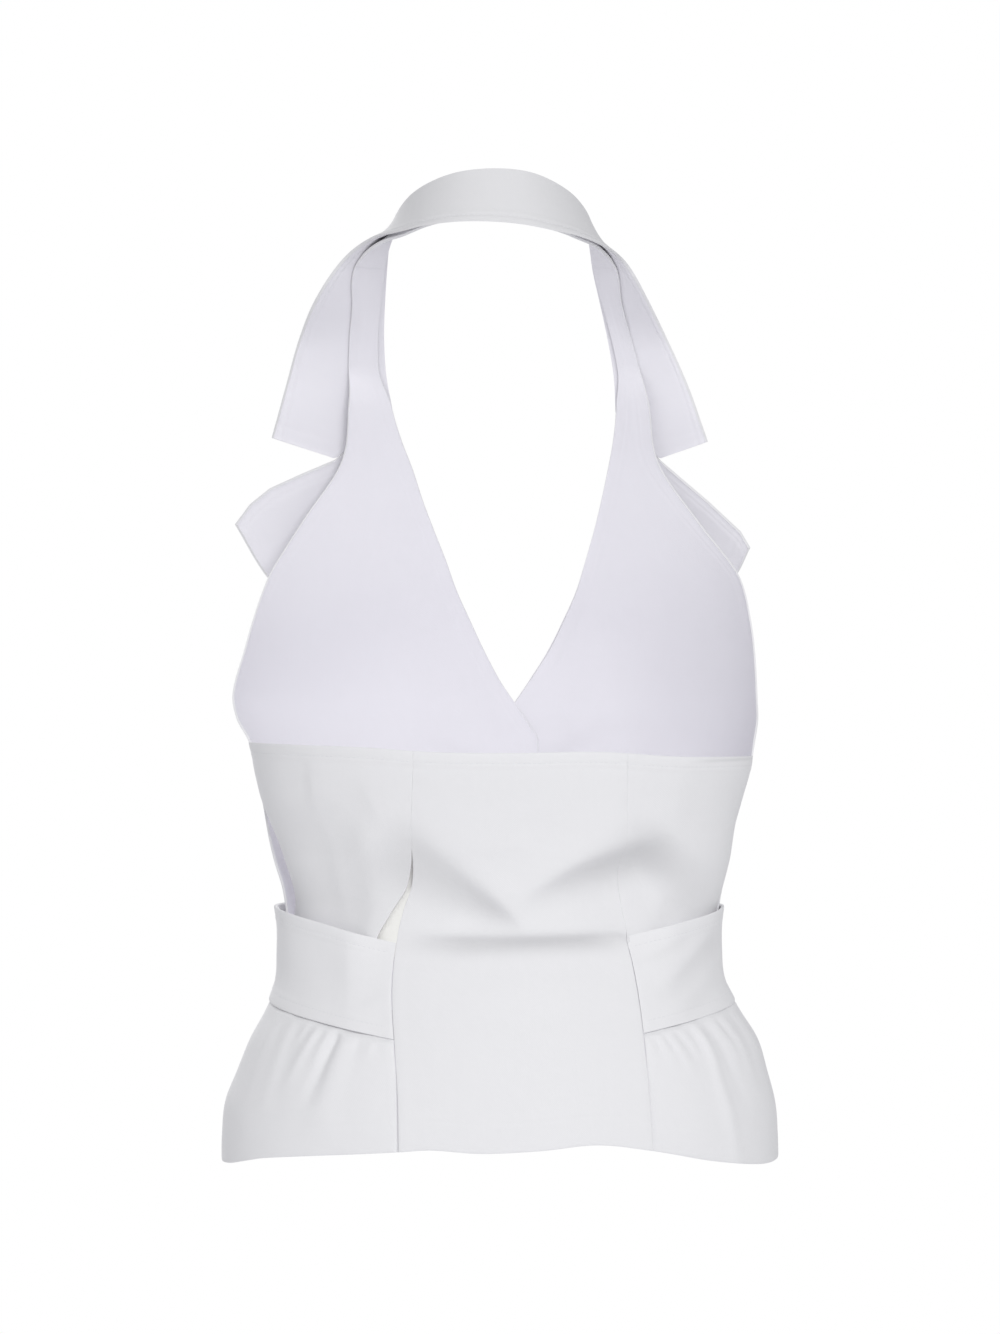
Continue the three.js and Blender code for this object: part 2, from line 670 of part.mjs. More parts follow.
// Collar stand, inside the fall round the nape, from one strap to the other.
const STAND_SHARES = [0.86, 0.58, 0.3, 0.04];
const STAND_LEAN = 2.6; // its lower edge is this much further inside the fall than its upper one
function collarStand() {
  const place = (u, v) => {
    const row = lerp(STRAP_ROW + STRAP_GAP, FALL_END - STRAP_ROW - STRAP_GAP, u);
    const towardsNape = smoothstep(fromEndRow(row), STRAP_ROW, STRAP_ROW + 2);
    const atStrap = lerp(STRAP_INSET, strapShare(row), v / STAND_SHARES[0]);
    const share = lerp(atStrap, v, towardsNape);
    return underFall(row, share, DOUBLED + LAYER + STAND_LEAN * towardsNape * v);
  };
  return wall("collar_stand", steps(26), STAND_SHARES, place, DOUBLED);
}

// A plain dished button, its face away from the cloth.
function button(name, side, z, base) {
  const { radius, thick, rim, dish, segments } = BUTTON;
  const profile = [
    [0, 0],
    [radius - rim, 0],
    [radius, thick * 0.4],
    [radius, thick * 0.75],
    [radius - rim * 0.5, thick],
    [radius - rim, thick],
    [radius - rim * 1.8, thick - dish],
    [0, thick - dish],
  ];
  const points = profile.map(([r, y]) => new THREE.Vector2(r, y));
  const material = new THREE.MeshStandardMaterial({ color: BUTTON_COLOUR, roughness: 0.4, metalness: 0 });
  const mesh = new THREE.Mesh(new THREE.LatheGeometry(points, segments), material);
  const angle = frontAngle(CENTRE_X, z);
  const across = bodyAt(angle + 3, z).sub(bodyAt(angle - 3, z));
  const up = bodyAt(angle, z + radius).sub(bodyAt(angle, z - radius));
  const outward = across.cross(up).normalize();
  mesh.quaternion.setFromUnitVectors(new THREE.Vector3(0, 1, 0), outward);
  mesh.position.copy(bodyAt(angle, z, base)).addScaledVector(outward, LAYER);
  mesh.name = name;
  return mesh;
}

const garment = new THREE.Group();
garment.add(centreBack(), collarFall(), collarStand());
for (const side of ["left", "right"]) {
  garment.add(sideBack(side), front(side), peplum(side), belt(side), lapel(side));
}
const beltFace = beltOut("right", 0, CENTRE_X, 0.5);
garment.add(button("button_top", "right", BUTTON_HEIGHTS.top, LAP_RISE));
garment.add(button("button_middle", "right", BUTTON_HEIGHTS.middle, LAP_RISE));
garment.add(button("button_belt", "right", BUTTON_HEIGHTS.belt, beltFace));

// The nape bears on the middle of the stand's inner face at centre back.
const nape = underFall(FALL_END / 2, 0.45, DOUBLED + LAYER + STAND_LEAN * 0.45 + DOUBLED);
garment.position.set(-nape.x, -nape.y, -nape.z);

export default garment;
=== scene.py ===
from math import asin, cos, degrees, exp, log, pi, radians, sin, sqrt
import bmesh
import bpy
from mathutils import Matrix, Vector, noise


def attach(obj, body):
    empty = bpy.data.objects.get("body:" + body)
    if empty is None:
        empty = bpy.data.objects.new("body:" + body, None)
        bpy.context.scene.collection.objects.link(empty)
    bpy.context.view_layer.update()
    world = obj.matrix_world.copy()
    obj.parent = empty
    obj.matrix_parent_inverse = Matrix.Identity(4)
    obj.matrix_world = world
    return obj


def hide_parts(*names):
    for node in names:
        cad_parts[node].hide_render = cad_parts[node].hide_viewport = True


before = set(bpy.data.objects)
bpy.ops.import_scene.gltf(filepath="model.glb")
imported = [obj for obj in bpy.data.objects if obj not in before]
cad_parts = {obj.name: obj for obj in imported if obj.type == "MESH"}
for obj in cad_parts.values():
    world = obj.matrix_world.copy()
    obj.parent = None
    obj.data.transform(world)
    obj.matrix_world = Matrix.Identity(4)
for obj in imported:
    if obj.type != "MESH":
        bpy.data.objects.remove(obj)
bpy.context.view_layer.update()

# Camera, floor and light: the top is seen squarely from behind and held at the nape, as if worn, so the
# floor lies a hip's height below it. One broad soft light stands high at the picture's right, a weaker
# one at its left, and a pale room fills the rest.
NAPE = Vector((5.97, 64.83, 540.85))  # where the nape bears, in millimetres over the side hem


def metres(point):
    return (point - NAPE) / 1000


def aim(thing, place, target):
    thing.location = place
    thing.rotation_euler = (target - place).to_track_quat("-Z", "Y").to_euler()


camera = bpy.data.objects.new("camera", bpy.data.cameras.new("camera"))
bpy.context.collection.objects.link(camera)
camera.data.sensor_width = 36
camera.data.lens = 151.5
camera.data.clip_end = 60
aim(camera, metres(Vector((0.6, 3200, 278))), metres(Vector((0.6, 0, 278))))
bpy.context.scene.camera = camera
bpy.context.scene.view_settings.view_transform = "Standard"

LIGHTS = (
    ("key", (-720, 2860, 1420), 1.6, 43),
    ("fill", (2200, 1700, 330), 2.2, 5.4),
    ("front", (900, -2600, 1500), 1.8, 44),
)
for light_name, place, size, watts in LIGHTS:
    lamp = bpy.data.lights.new(light_name, "AREA")
    lamp.shape = "DISK"
    lamp.size = size
    lamp.energy = watts
    light = bpy.data.objects.new(light_name, lamp)
    bpy.context.collection.objects.link(light)
    aim(light, metres(Vector(place)), metres(Vector((0, 0, 290))))

world = bpy.data.worlds.new("pale room")
bpy.context.scene.world = world
world.use_nodes = True
room = world.node_tree
room.nodes.clear()
room_out = room.nodes.new("ShaderNodeOutputWorld")
room_mix = room.nodes.new("ShaderNodeMixShader")
room_path = room.nodes.new("ShaderNodeLightPath")
room_light = room.nodes.new("ShaderNodeBackground")
room_light.inputs["Color"].default_value = (0.97, 0.975, 1.0, 1)
room_light.inputs["Strength"].default_value = 0.5
room_seen = room.nodes.new("ShaderNodeBackground")
room_seen.inputs["Color"].default_value = (1, 1, 1, 1)
room.links.new(room_path.outputs["Is Camera Ray"], room_mix.inputs["Fac"])
room.links.new(room_light.outputs["Background"], room_mix.inputs[1])
room.links.new(room_seen.outputs["Background"], room_mix.inputs[2])
room.links.new(room_mix.outputs["Shader"], room_out.inputs["Surface"])

floor_mesh = bmesh.new()
bmesh.ops.create_grid(floor_mesh, x_segments=2, y_segments=2, size=4.5)
bmesh.ops.translate(floor_mesh, verts=floor_mesh.verts, vec=metres(Vector((0, 0, -860))))
floor_data = bpy.data.meshes.new("floor")
floor_mesh.to_mesh(floor_data)
floor_mesh.free()
floor = bpy.data.objects.new("floor", floor_data)
bpy.context.collection.objects.link(floor)
floor_paint = bpy.data.materials.new("pale floor")
floor_paint.use_nodes = True
floor_paint.node_tree.nodes["Principled BSDF"].inputs["Base Color"].default_value = (0.86, 0.86, 0.87, 1)
floor_paint.node_tree.nodes["Principled BSDF"].inputs["Roughness"].default_value = 0.9
floor.data.materials.append(floor_paint)

# Centre back: one panel of firm white cotton from the top edge to the hem, sewn to the side backs along
# its two princess seams. The top edge is turned in and stitched 6 mm down, the hem is turned up, and the
# waist is drawn in so that the cloth buckles into slanting folds over the belt.


def table(names, rows):
    keys = names.split()
    return [dict(zip(keys, row)) for row in rows]


def curve(rows, by, key, step=0.25):
    """A column read along another one, on a smooth line through the rows."""
    at = [row[by] for row in rows]
    value = [row[key] for row in rows]
    last = len(rows) - 1

    def slope(k):
        a, b = max(k - 1, 0), min(k + 1, last)
        return (value[b] - value[a]) / (at[b] - at[a])

    dense = []
    i = 0
    count = int((at[-1] - at[0]) / step) + 1
    for n in range(count + 1):
        here = min(at[0] + n * step, at[-1])
        while i < last - 1 and here > at[i + 1]:
            i += 1
        span = at[i + 1] - at[i]
        t = (here - at[i]) / span
        bend = slope(i) * span * (1 - t) - slope(i + 1) * span * t
        dense.append(value[i] + (value[i + 1] - value[i]) * t * t * (3 - 2 * t) + t * (1 - t) * bend)

    def read(place):
        s = (place - at[0]) / step
        if s <= 0:
            return dense[0]
        if s >= count:
            return dense[-1]
        k = int(s)
        return dense[k] + (dense[k + 1] - dense[k]) * (s - k)

    return read


def mix(a, b, share):
    return a + (b - a) * share


def ease(value, low, high):
    t = min(max((value - low) / (high - low), 0.0), 1.0)
    return t * t * (3 - 2 * t)


def hump(distance, width):
    return exp(-((distance / width) ** 2))


def dense_ends(share, pull=0.6):
    """Spaces a grid more closely towards both ends, where edges and seams need it."""
    return share - pull * sin(2 * pi * share) / (2 * pi)


FORM = table("z middle half front back", [
    (-6, 0.3, 158.8, 110, 101),
    (14, 0.5, 158.3, 109, 100),
    (31, 0.4, 156.6, 106, 98),
    (48, -0.6, 151, 102, 94),
    (66, -1.6, 143.6, 97, 89),
    (83, -1, 133.2, 92, 83),
    (100, 0, 125.4, 89, 78),
    (117, 0, 123.4, 88, 74),
    (134, -0.4, 123, 89, 73),
    (151, -0.6, 125, 92, 75),
    (168, 0, 129.4, 96, 78),
    (185, 0.2, 133.2, 101, 82),
    (202, -0.6, 137.2, 106, 87),
    (219, -0.9, 141.4, 112, 92),
    (236, -0.4, 144.3, 117, 95),
    (248, 2, 149, 119, 96),
    (262, 3, 151.8, 122, 97),
    (288, 1, 151.5, 124, 98),
    (305, 0, 151, 124, 98),
    (331, 0, 153, 121, 98),
    (364, 0, 158, 114, 98),
    (398, 0, 163, 102, 98),
    (430, 0, 165, 86, 98),
    (454, 0, 165, 73, 98),
    (473, 0, 165, 57, 98),
    (492, 0, 165, 37, 98),
    (510, 0, 165, 15, 98),
])
form_middle = curve(FORM, "z", "middle")
form_half = curve(FORM, "z", "half")
form_front = curve(FORM, "z", "front")
form_back = curve(FORM, "z", "back")
BUST = {"x": 70, "z": 272, "rise": 9, "width": 50, "height": 42}
NECK_HALF = 60
SHOULDER_DROP = 0.35

BACK_SEAMS = table("z left right", [
    (5, 57, -85.3),
    (38, 57.6, -83.1),
    (65, 59.3, -80.5),
    (93, 61.2, -77.3),
    (123, 60.2, -73.5),
    (140, 57, -72.4),
    (157, 51.6, -71.2),
    (176, 50.5, -70.1),
    (232, 48.8, -70.4),
])
BACK_TOP = table("x z", [
    (-144, 227.5),
    (-100, 228),
    (-55, 231),
    (-7, 230.5),
    (39, 231),
    (78, 233.5),
    (112, 234.5),
    (144, 235.5),
])
HEM = table("angle z", [
    (-10, 3),
    (45, 1),
    (88, -3),
    (104, -2.6),
    (115, 0.2),
    (124, 3),
    (158, 9),
    (166, 10.6),
    (176, 9),
    (188, 10.4),
    (200, 13.2),
    (212, 9.4),
    (229, 2),
    (248, -2),
    (268, -1.2),
    (310, 1),
    (370, 3),
])
seam_left = curve(BACK_SEAMS, "z", "left")
seam_right = curve(BACK_SEAMS, "z", "right")
back_top = curve(BACK_TOP, "x", "z")
hem_at = curve(HEM, "angle", "z", step=0.1)

# Folds, each along a bowed line. The cloth turns under on the line's right-hand side, seen from behind and
# walked from its first end, and comes back out over a few times the width. Swell and sink are the shares
# of the line over which the fold grows and dies away, wide0 and wide1 its widths there, and shade is how
# much painted shade its crease lays on the cloth's colour.
FOLD_NAMES = "x0 z0 x1 z1 bow swell sink wide0 wide1 depth shade"
BACK_FOLDS = table(FOLD_NAMES, [
    (56, 191.5, -8, 138, 0, 0.22, 0.76, 18, 4, 8.4, 0.64),
    (-12, 148.5, -86, 180.5, 4.6, 0.66, 0.86, 5, 10, 11.0, 0.62),
    (-82, 193, -130, 142, 4, 0.36, 0.44, 9, 13, 6.4, 0.5),
    (50, 128.2, -68, 129.8, -1, 0.3, 0.8, 4.6, 4.4, 6.4, 1.0),
    (-62, 131, -79, 126, 0, 0.5, 0.5, 2, 2, 1.2, 0.3),
    (79, 198, 77, 128, 2, 0.4, 0.7, 16, 14, 7.0, 0.0),
    (106, 200, 92, 128, 2, 0.4, 0.7, 7, 6, 1.2, 0.0),
    (108, 232, 106, 196, 0, 0.5, 0.5, 3, 3, 0.9, 0.0),
    (80, 218, 64, 186, -1, 0.5, 0.5, 7, 6, 1.6, 0.0),
    (-100, 178, -104, 222, 2, 0.5, 0.5, 8, 8, 1.5, 0.0),
    (-92, 134, -100, 158, -2, 0.5, 0.5, 5, 6, 1.4, 0.0),
    (30, 172, -20, 176, 3, 0.5, 0.5, 8, 8, 1.0, 0.0),
    (-108, 229.6, -142, 231.2, 0, 0.5, 0.9, 0.9, 0.9, 0.6, 0.5),
    (-108, 226.0, -142, 227.0, 0, 0.5, 0.9, 0.9, 0.9, 0.5, 0.5),
])
FRONT_FOLDS = table(FOLD_NAMES, [
    (-122, 176, -52, 150, 4, 0.3, 0.7, 9, 4, 3.6, 0.25),
    (50, 152, 118, 180, 4, 0.3, 0.7, 4, 9, 3.4, 0.25),
    (-84, 166, -30, 149, 2, 0.5, 0.5, 4, 3, 1.4, 0.2),
    (30, 148, 84, 162, 2, 0.5, 0.5, 3, 4, 1.4, 0.2),
    (-64, 182, -16, 172.5, 1, 0.5, 0.7, 5, 2.5, 1.2, 0.2),
    (4, 170.5, 46, 166, 0, 0.2, 0.5, 2.5, 5, 0.9, 0.1),
    (-70, 238, -17, 221.5, 2, 0.5, 0.7, 7, 2.5, 1.6, 0.2),
    (4, 219.5, 54, 231, 2, 0.2, 0.5, 2.5, 7, 1.3, 0.1),
    (84, 240, 72, 186, 2, 0.5, 0.5, 9, 8, 1.8, 0.0),
    (-72, 186, -86, 238, -2, 0.5, 0.5, 8, 9, 1.8, 0.0),
    (62, 84, 70, 18, 2, 0.3, 0.7, 6, 11, 2.2, 0.0),
    (-66, 22, -56, 86, 2, 0.3, 0.7, 11, 6, 2.2, 0.0),
    (-100, 24, -94, 82, 1, 0.3, 0.7, 9, 6, 1.2, 0.0),
])
FOLD_RETURN = 3.5
FOLD_NORM = 2.31
FOLD_ROLL = 0.16


def fold_terms(folds, x, z):
    """Each fold that reaches a place, with its growth and width there and the distance under its line."""
    for fold in folds:
        ax, az = fold["x1"] - fold["x0"], fold["z1"] - fold["z0"]
        long = sqrt(ax * ax + az * az)
        px, pz = x - fold["x0"], z - fold["z0"]
        share = (px * ax + pz * az) / (long * long)
        if not -0.16 < share < 1.16:
            continue
        under = (pz * ax - px * az) / long
        under += fold["bow"] * 4 * share * (1 - share) if 0 < share < 1 else 0
        wide = mix(fold["wide0"], fold["wide1"], min(max(share, 0), 1))
        if -6 * wide < under < 9 * wide:
            fade = ease(share, -0.16, fold["swell"]) * (1 - ease(share, fold["sink"], 1.16))
            yield fold, fade * (1 - ease(under, 4 * wide, 9 * wide)), wide, under


def fold_relief(folds, x, z):
    relief = 0.0
    for fold, grown, wide, under in fold_terms(folds, x, z):
        rolled = hump(under, 2.6 * wide if under < 0 else 1.2 * wide)
        soft = 0.2 * wide
        under = soft * log(1 + exp(min(under / soft, 40)))
        turned = FOLD_NORM * (exp(-under / wide / FOLD_RETURN) - exp(-under / wide))
        relief += fold["depth"] * grown * (FOLD_ROLL * rolled - turned)
    return relief


def fold_shade(folds, x, z):
    """How much painted shade the creases lay on the cloth's colour at a place, from 0 to 1."""
    shade = 0.0
    for fold, grown, wide, under in fold_terms(folds, x, z):
        shade += fold["shade"] * grown * hump(under - 1.15 * wide, 1.15 * wide)
    return min(shade, 1.0)


def soft_ripple(x, z, seed):
    """The small unevenness of pressed cloth."""
    broad = noise.noise(Vector((x * 0.021, z * 0.017, seed)))
    close = noise.noise(Vector((x * 0.06, z * 0.05, seed + 7)))
    return 0.55 * broad + 0.16 * close


def form_x(angle, z):
    return form_middle(z) + form_half(z) * sin(radians(angle))


def angle_at(x, z):
    """Degrees round the form from centre front, over the left side, to a place on its front."""
    return degrees(asin(min(max((x - form_middle(z)) / form_half(z), -1), 1)))


def body(angle, z, lift=0.0, folds=1.0):
    """A point of the cloth's outer face on the worn form, raised off the form by lift."""
    turn = radians(angle)
    half = form_half(z)
    facing = cos(turn)
    x = form_middle(z) + half * sin(turn)
    if facing > 0:
        level = z + max(0.0, abs(x) - NECK_HALF) * SHOULDER_DROP * ease(z, 380, 450)
        depth = form_front(level)
        across = (abs(x) - BUST["x"]) / BUST["width"]
        up = (z - BUST["z"]) / BUST["height"]
        lift += BUST["rise"] * exp(-across * across - up * up) * facing
        lift += folds * fold_relief(FRONT_FOLDS, x, z)
    else:
        depth = form_back(z)
        lift += folds * fold_relief(BACK_FOLDS, x, z)
    normal = Vector((sin(turn) / half, -facing / max(depth, half / 2), 0)).normalized()
    return Vector((x, -depth * facing, z)) + normal * lift


def turned_edge(inside, stitch=6.0):
    """Relief of an edge that is turned in and topstitched, by the distance inside it."""
    rounded = -0.5 * exp(-inside / 0.5)
    puffed = 0.08 * hump(inside - stitch * 0.5, stitch * 0.4)
    drawn = -0.12 * hump(inside - stitch, 0.7)
    doubled = 0.3 * (1 - ease(inside, stitch + 0.5, stitch + 4))
    return rounded + puffed + drawn + doubled


def seam_gap(z):
    """Half the width of the groove at a princess seam, which is pressed flatter above the belt."""
    return mix(0.07, 0.0, ease(z, 95, 135))


def seam_edge(away, z):
    """Relief of cloth beside a princess seam: it dips into the seam and puckers a little along it."""
    below = 1 - ease(z, 95, 135)
    dip = -0.45 * below * exp(-away / 0.7)
    press = mix(0.04, 0.14, below) * hump(away - 4, 3.2)
    pucker = 0.08 * sin(z * 0.62 + 1.7 * sin(z * 0.11)) * exp(-away / 5)
    return dip + press + pucker


def new_group(name, inputs, outputs):
    group = bpy.data.node_groups.new(name, "ShaderNodeTree")
    for label, kind, default in inputs:
        socket = group.interface.new_socket(label, in_out="INPUT", socket_type=kind)
        if default is not None:
            socket.default_value = default
    for label, kind in outputs:
        group.interface.new_socket(label, in_out="OUTPUT", socket_type=kind)
    start = group.nodes.new("NodeGroupInput")
    end = group.nodes.new("NodeGroupOutput")
    return group, start, end


def maths(tree, operation, *values):
    node = tree.nodes.new("ShaderNodeMath")
    node.operation = operation
    for k, value in enumerate(values):
        if isinstance(value, (int, float)):
            node.inputs[k].default_value = value
        else:
            tree.links.new(value, node.inputs[k])
    return node.outputs["Value"]


# Plain weave: warp and weft pass over and under, with thicker yarns here and there.
weave_group, weave_in, weave_out = new_group(
    "plain weave",
    [("Vector", "NodeSocketVector", None), ("Threads per metre", "NodeSocketFloat", 1900.0)],
    [("Height", "NodeSocketFloat"), ("Yarn", "NodeSocketFloat")],
)
weave_split = weave_group.nodes.new("ShaderNodeSeparateXYZ")
weave_group.links.new(weave_in.outputs["Vector"], weave_split.inputs["Vector"])
yarns = []
for axis in ("X", "Y"):
    turns = maths(weave_group, "MULTIPLY", weave_split.outputs[axis], weave_in.outputs["Threads per metre"])
    turns = maths(weave_group, "MULTIPLY", turns, pi)
    wave = maths(weave_group, "SINE", turns)
    yarns.append(wave)
crossing = maths(weave_group, "MULTIPLY", yarns[0], yarns[1])
ridge_warp = maths(weave_group, "ABSOLUTE", yarns[0])
weave_height = maths(weave_group, "MULTIPLY_ADD", crossing, 0.5, 0.5)
weave_height = maths(weave_group, "MULTIPLY_ADD", ridge_warp, 0.35, weave_height)
slub = weave_group.nodes.new("ShaderNodeTexNoise")
slub.inputs["Scale"].default_value = 260
slub.inputs["Detail"].default_value = 3
stretch = weave_group.nodes.new("ShaderNodeMapping")
stretch.inputs["Scale"].default_value = (1.0, 0.12, 1.0)
weave_group.links.new(weave_in.outputs["Vector"], stretch.inputs["Vector"])
weave_group.links.new(stretch.outputs["Vector"], slub.inputs["Vector"])
weave_group.links.new(weave_height, weave_out.inputs["Height"])
weave_group.links.new(slub.outputs["Fac"], weave_out.inputs["Yarn"])


def cloth_material(name, light, dark, roughness, seed):
    """White cotton: weave and pressing marks in its bump, a faint unevenness and painted crease shade in its
    colour.
    """
    made = bpy.data.materials.new(name)
    made.use_nodes = True
    tree = made.node_tree
    shader = tree.nodes["Principled BSDF"]
    shader.inputs["Sheen Weight"].default_value = 0.18
    shader.inputs["Sheen Roughness"].default_value = 0.45
    shader.inputs["Specular IOR Level"].default_value = 0.22
    place = tree.nodes.new("ShaderNodeUVMap")
    place.uv_map = "cut"
    spot = tree.nodes.new("ShaderNodeTexCoord")
    weave = tree.nodes.new("ShaderNodeGroup")
    weave.node_tree = weave_group
    tree.links.new(place.outputs["UV"], weave.inputs["Vector"])
    mottle = tree.nodes.new("ShaderNodeTexNoise")
    mottle.noise_dimensions = "4D"
    mottle.inputs["W"].default_value = seed
    mottle.inputs["Scale"].default_value = 22
    mottle.inputs["Detail"].default_value = 5
    mottle.inputs["Roughness"].default_value = 0.55
    tree.links.new(spot.outputs["Object"], mottle.inputs["Vector"])
    shade = maths(tree, "MULTIPLY_ADD", mottle.outputs["Fac"], 0.7, 0.0)
    shade = maths(tree, "MULTIPLY_ADD", weave.outputs["Yarn"], 0.3, shade)
    tint = tree.nodes.new("ShaderNodeMix")
    tint.data_type = "RGBA"
    tint.inputs["A"].default_value = (*dark, 1)
    tint.inputs["B"].default_value = (*light, 1)
    tree.links.new(shade, tint.inputs["Factor"])
    # Painted shade: the colour is greyed where the mesh's attribute marks shaded creases and the collar's nape.
    painted_shade = tree.nodes.new("ShaderNodeAttribute")
    painted_shade.attribute_name = "painted_shade"
    painted_shade_tint = tree.nodes.new("ShaderNodeMix")
    painted_shade_tint.data_type = "RGBA"
    painted_shade_tint.inputs["B"].default_value = (*(0.6 * part for part in dark), 1)
    tree.links.new(maths(tree, "MULTIPLY", painted_shade.outputs["Fac"], 0.45), painted_shade_tint.inputs["Factor"])
    tree.links.new(tint.outputs["Result"], painted_shade_tint.inputs["A"])
    tree.links.new(painted_shade_tint.outputs["Result"], shader.inputs["Base Color"])
    rough = tree.nodes.new("ShaderNodeMapRange")
    rough.inputs["To Min"].default_value = roughness - 0.08
    rough.inputs["To Max"].default_value = roughness + 0.08
    tree.links.new(weave.outputs["Yarn"], rough.inputs["Value"])
    tree.links.new(rough.outputs["Result"], shader.inputs["Roughness"])
    pressed = tree.nodes.new("ShaderNodeBump")
    pressed.inputs["Strength"].default_value = 0.5
    pressed.inputs["Distance"].default_value = 0.0006
    tree.links.new(mottle.outputs["Fac"], pressed.inputs["Height"])
    woven = tree.nodes.new("ShaderNodeBump")
    woven.inputs["Strength"].default_value = 0.35
    woven.inputs["Distance"].default_value = 0.00008
    tree.links.new(weave.outputs["Height"], woven.inputs["Height"])
    tree.links.new(pressed.outputs["Normal"], woven.inputs["Normal"])
    tree.links.new(woven.outputs["Normal"], shader.inputs["Normal"])
    return made


right_side = cloth_material("white cotton", (0.862, 0.86, 0.87), (0.826, 0.824, 0.838), 0.82, 1.0)
# The inside face is painted lighter and bluer than the outside: painted fill light for the hollow of the top.
wrong_side = cloth_material("white cotton inside", (0.885, 0.873, 0.918), (0.86, 0.847, 0.895), 0.9, 4.0)
thread = bpy.data.materials.new("white sewing thread")
thread.use_nodes = True
thread_shader = thread.node_tree.nodes["Principled BSDF"]
thread_shader.inputs["Roughness"].default_value = 0.5
thread_twist = thread.node_tree.nodes.new("ShaderNodeTexNoise")
thread_twist.inputs["Scale"].default_value = 900
thread_spot = thread.node_tree.nodes.new("ShaderNodeTexCoord")
thread.node_tree.links.new(thread_spot.outputs["Object"], thread_twist.inputs["Vector"])
thread_tint = thread.node_tree.nodes.new("ShaderNodeMix")
thread_tint.data_type = "RGBA"
thread_tint.inputs["A"].default_value = (0.70, 0.70, 0.73, 1)
thread_tint.inputs["B"].default_value = (0.88, 0.88, 0.90, 1)
thread.node_tree.links.new(thread_twist.outputs["Fac"], thread_tint.inputs["Factor"])
thread.node_tree.links.new(thread_tint.outputs["Result"], thread_shader.inputs["Base Color"])


def lay_flat(bm, columns, rows):
    """Cloth coordinates in metres, by the true lengths along the rows and columns of the worn cloth."""
    bm.verts.ensure_lookup_table()
    wide = columns + 1
    flat = {}
    climb = [0.0] * wide
    for k in range(rows + 1):
        line = bm.verts[k * wide:(k + 1) * wide]
        if k:
            below = bm.verts[(k - 1) * wide:k * wide]
            climb = [far + (b.co - a.co).length for far, a, b in zip(climb, below, line)]
        run = [0.0]
        for a, b in zip(line, line[1:]):
            run.append(run[-1] + (b.co - a.co).length)
        for vert, along, up in zip(line, run, climb):
            flat[vert] = (along - run[-1] / 2, up)
    return flat


def cloth_piece(
    name, place, columns, rows, thick, node=None,
    spacing=(dense_ends, dense_ends), finish=None, shade=None,
):
    """Lays a grid of cloth on place(u, v), gives it thickness inwards and rounds its cut edges."""
    bm = bmesh.new()
    bmesh.ops.create_grid(bm, x_segments=columns, y_segments=rows, size=0.5, calc_uvs=True)
    uv = bm.loops.layers.uv.verify()
    painted_shade = bm.verts.layers.float.new("painted_shade")
    shares = {v: (spacing[0](v.co.x + 0.5), spacing[1](v.co.y + 0.5)) for v in bm.verts}
    for vert, (u, v) in shares.items():
        spot = place(u, v)
        vert.co = metres(spot)
        # Each vertex keeps its share of painted shade, which the material greys the colour by.
        if shade:
            vert[painted_shade] = shade(spot)
    flat = lay_flat(bm, columns, rows)
    for face in bm.faces:
        for loop in face.loops:
            loop[uv].uv = flat[loop.vert]
    data = bpy.data.meshes.new(name)
    bm.to_mesh(data)
    bm.free()
    data.uv_layers[0].name = "cut"
    data.materials.append(finish or right_side)
    data.materials.append(wrong_side)
    data.shade_smooth()
    piece = bpy.data.objects.new(name, data)
    bpy.context.collection.objects.link(piece)
    wall = piece.modifiers.new("thickness", "SOLIDIFY")
    wall.thickness = thick / 1000
    wall.offset = -1
    wall.use_even_offset = True
    wall.material_offset = 1
    edge = piece.modifiers.new("soft edge", "BEVEL")
    edge.width = 0.0002
    edge.segments = 2
    edge.limit_method = "ANGLE"
    edge.angle_limit = radians(55)
    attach(piece, "root")
    if node:
        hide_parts(node)
    return piece


def painted_fold_shade(spot):
    """Painted crease shade of a place on the body of the top, from the folds of its back or its front."""
    return fold_shade(BACK_FOLDS if spot.y > 0 else FRONT_FOLDS, spot.x, spot.z)


def sew(name, place, path, pitch=2.9, long=2.1, thick=0.36, rise=0.29, lift=-0.03):
    """A row of machine stitches along path(t), which gives u and v on the cloth of place."""
    small = 1e-3
    count = 300
    marks = [path(k / count) for k in range(count + 1)]
    points = [place(*mark) for mark in marks]
    lengths = [0.0]
    for a, b in zip(points, points[1:]):
        lengths.append(lengths[-1] + (b - a).length)
    bm = bmesh.new()
    k = 0
    where = pitch / 2
    while where < lengths[-1] - pitch / 2:
        while lengths[k + 1] < where:
            k += 1
        share = (where - lengths[k]) / (lengths[k + 1] - lengths[k])
        u = mix(marks[k][0], marks[k + 1][0], share)
        v = mix(marks[k][1], marks[k + 1][1], share)
        along = (points[k + 1] - points[k]).normalized()
        across = place(u + small, v) - place(u - small, v)
        up = place(u, v + small) - place(u, v - small)
        out = across.cross(up).normalized()
        side = out.cross(along).normalized()
        centre = mix(points[k], points[k + 1], share) + out * lift
        turn = Matrix((side, out, along)).transposed().to_4x4()
        size = Matrix.Diagonal((thick, rise, long, 1))
        scale = Matrix.Diagonal((0.001, 0.001, 0.001, 1))
        at = Matrix.Translation(metres(centre)) @ scale @ turn @ size
        bmesh.ops.create_uvsphere(bm, u_segments=6, v_segments=4, radius=0.5, matrix=at)
        where += pitch
    data = bpy.data.meshes.new(name)
    bm.to_mesh(data)
    bm.free()
    data.materials.append(thread)
    data.shade_smooth()
    stitches = bpy.data.objects.new(name, data)
    bpy.context.collection.objects.link(stitches)
    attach(stitches, "root")
    return stitches


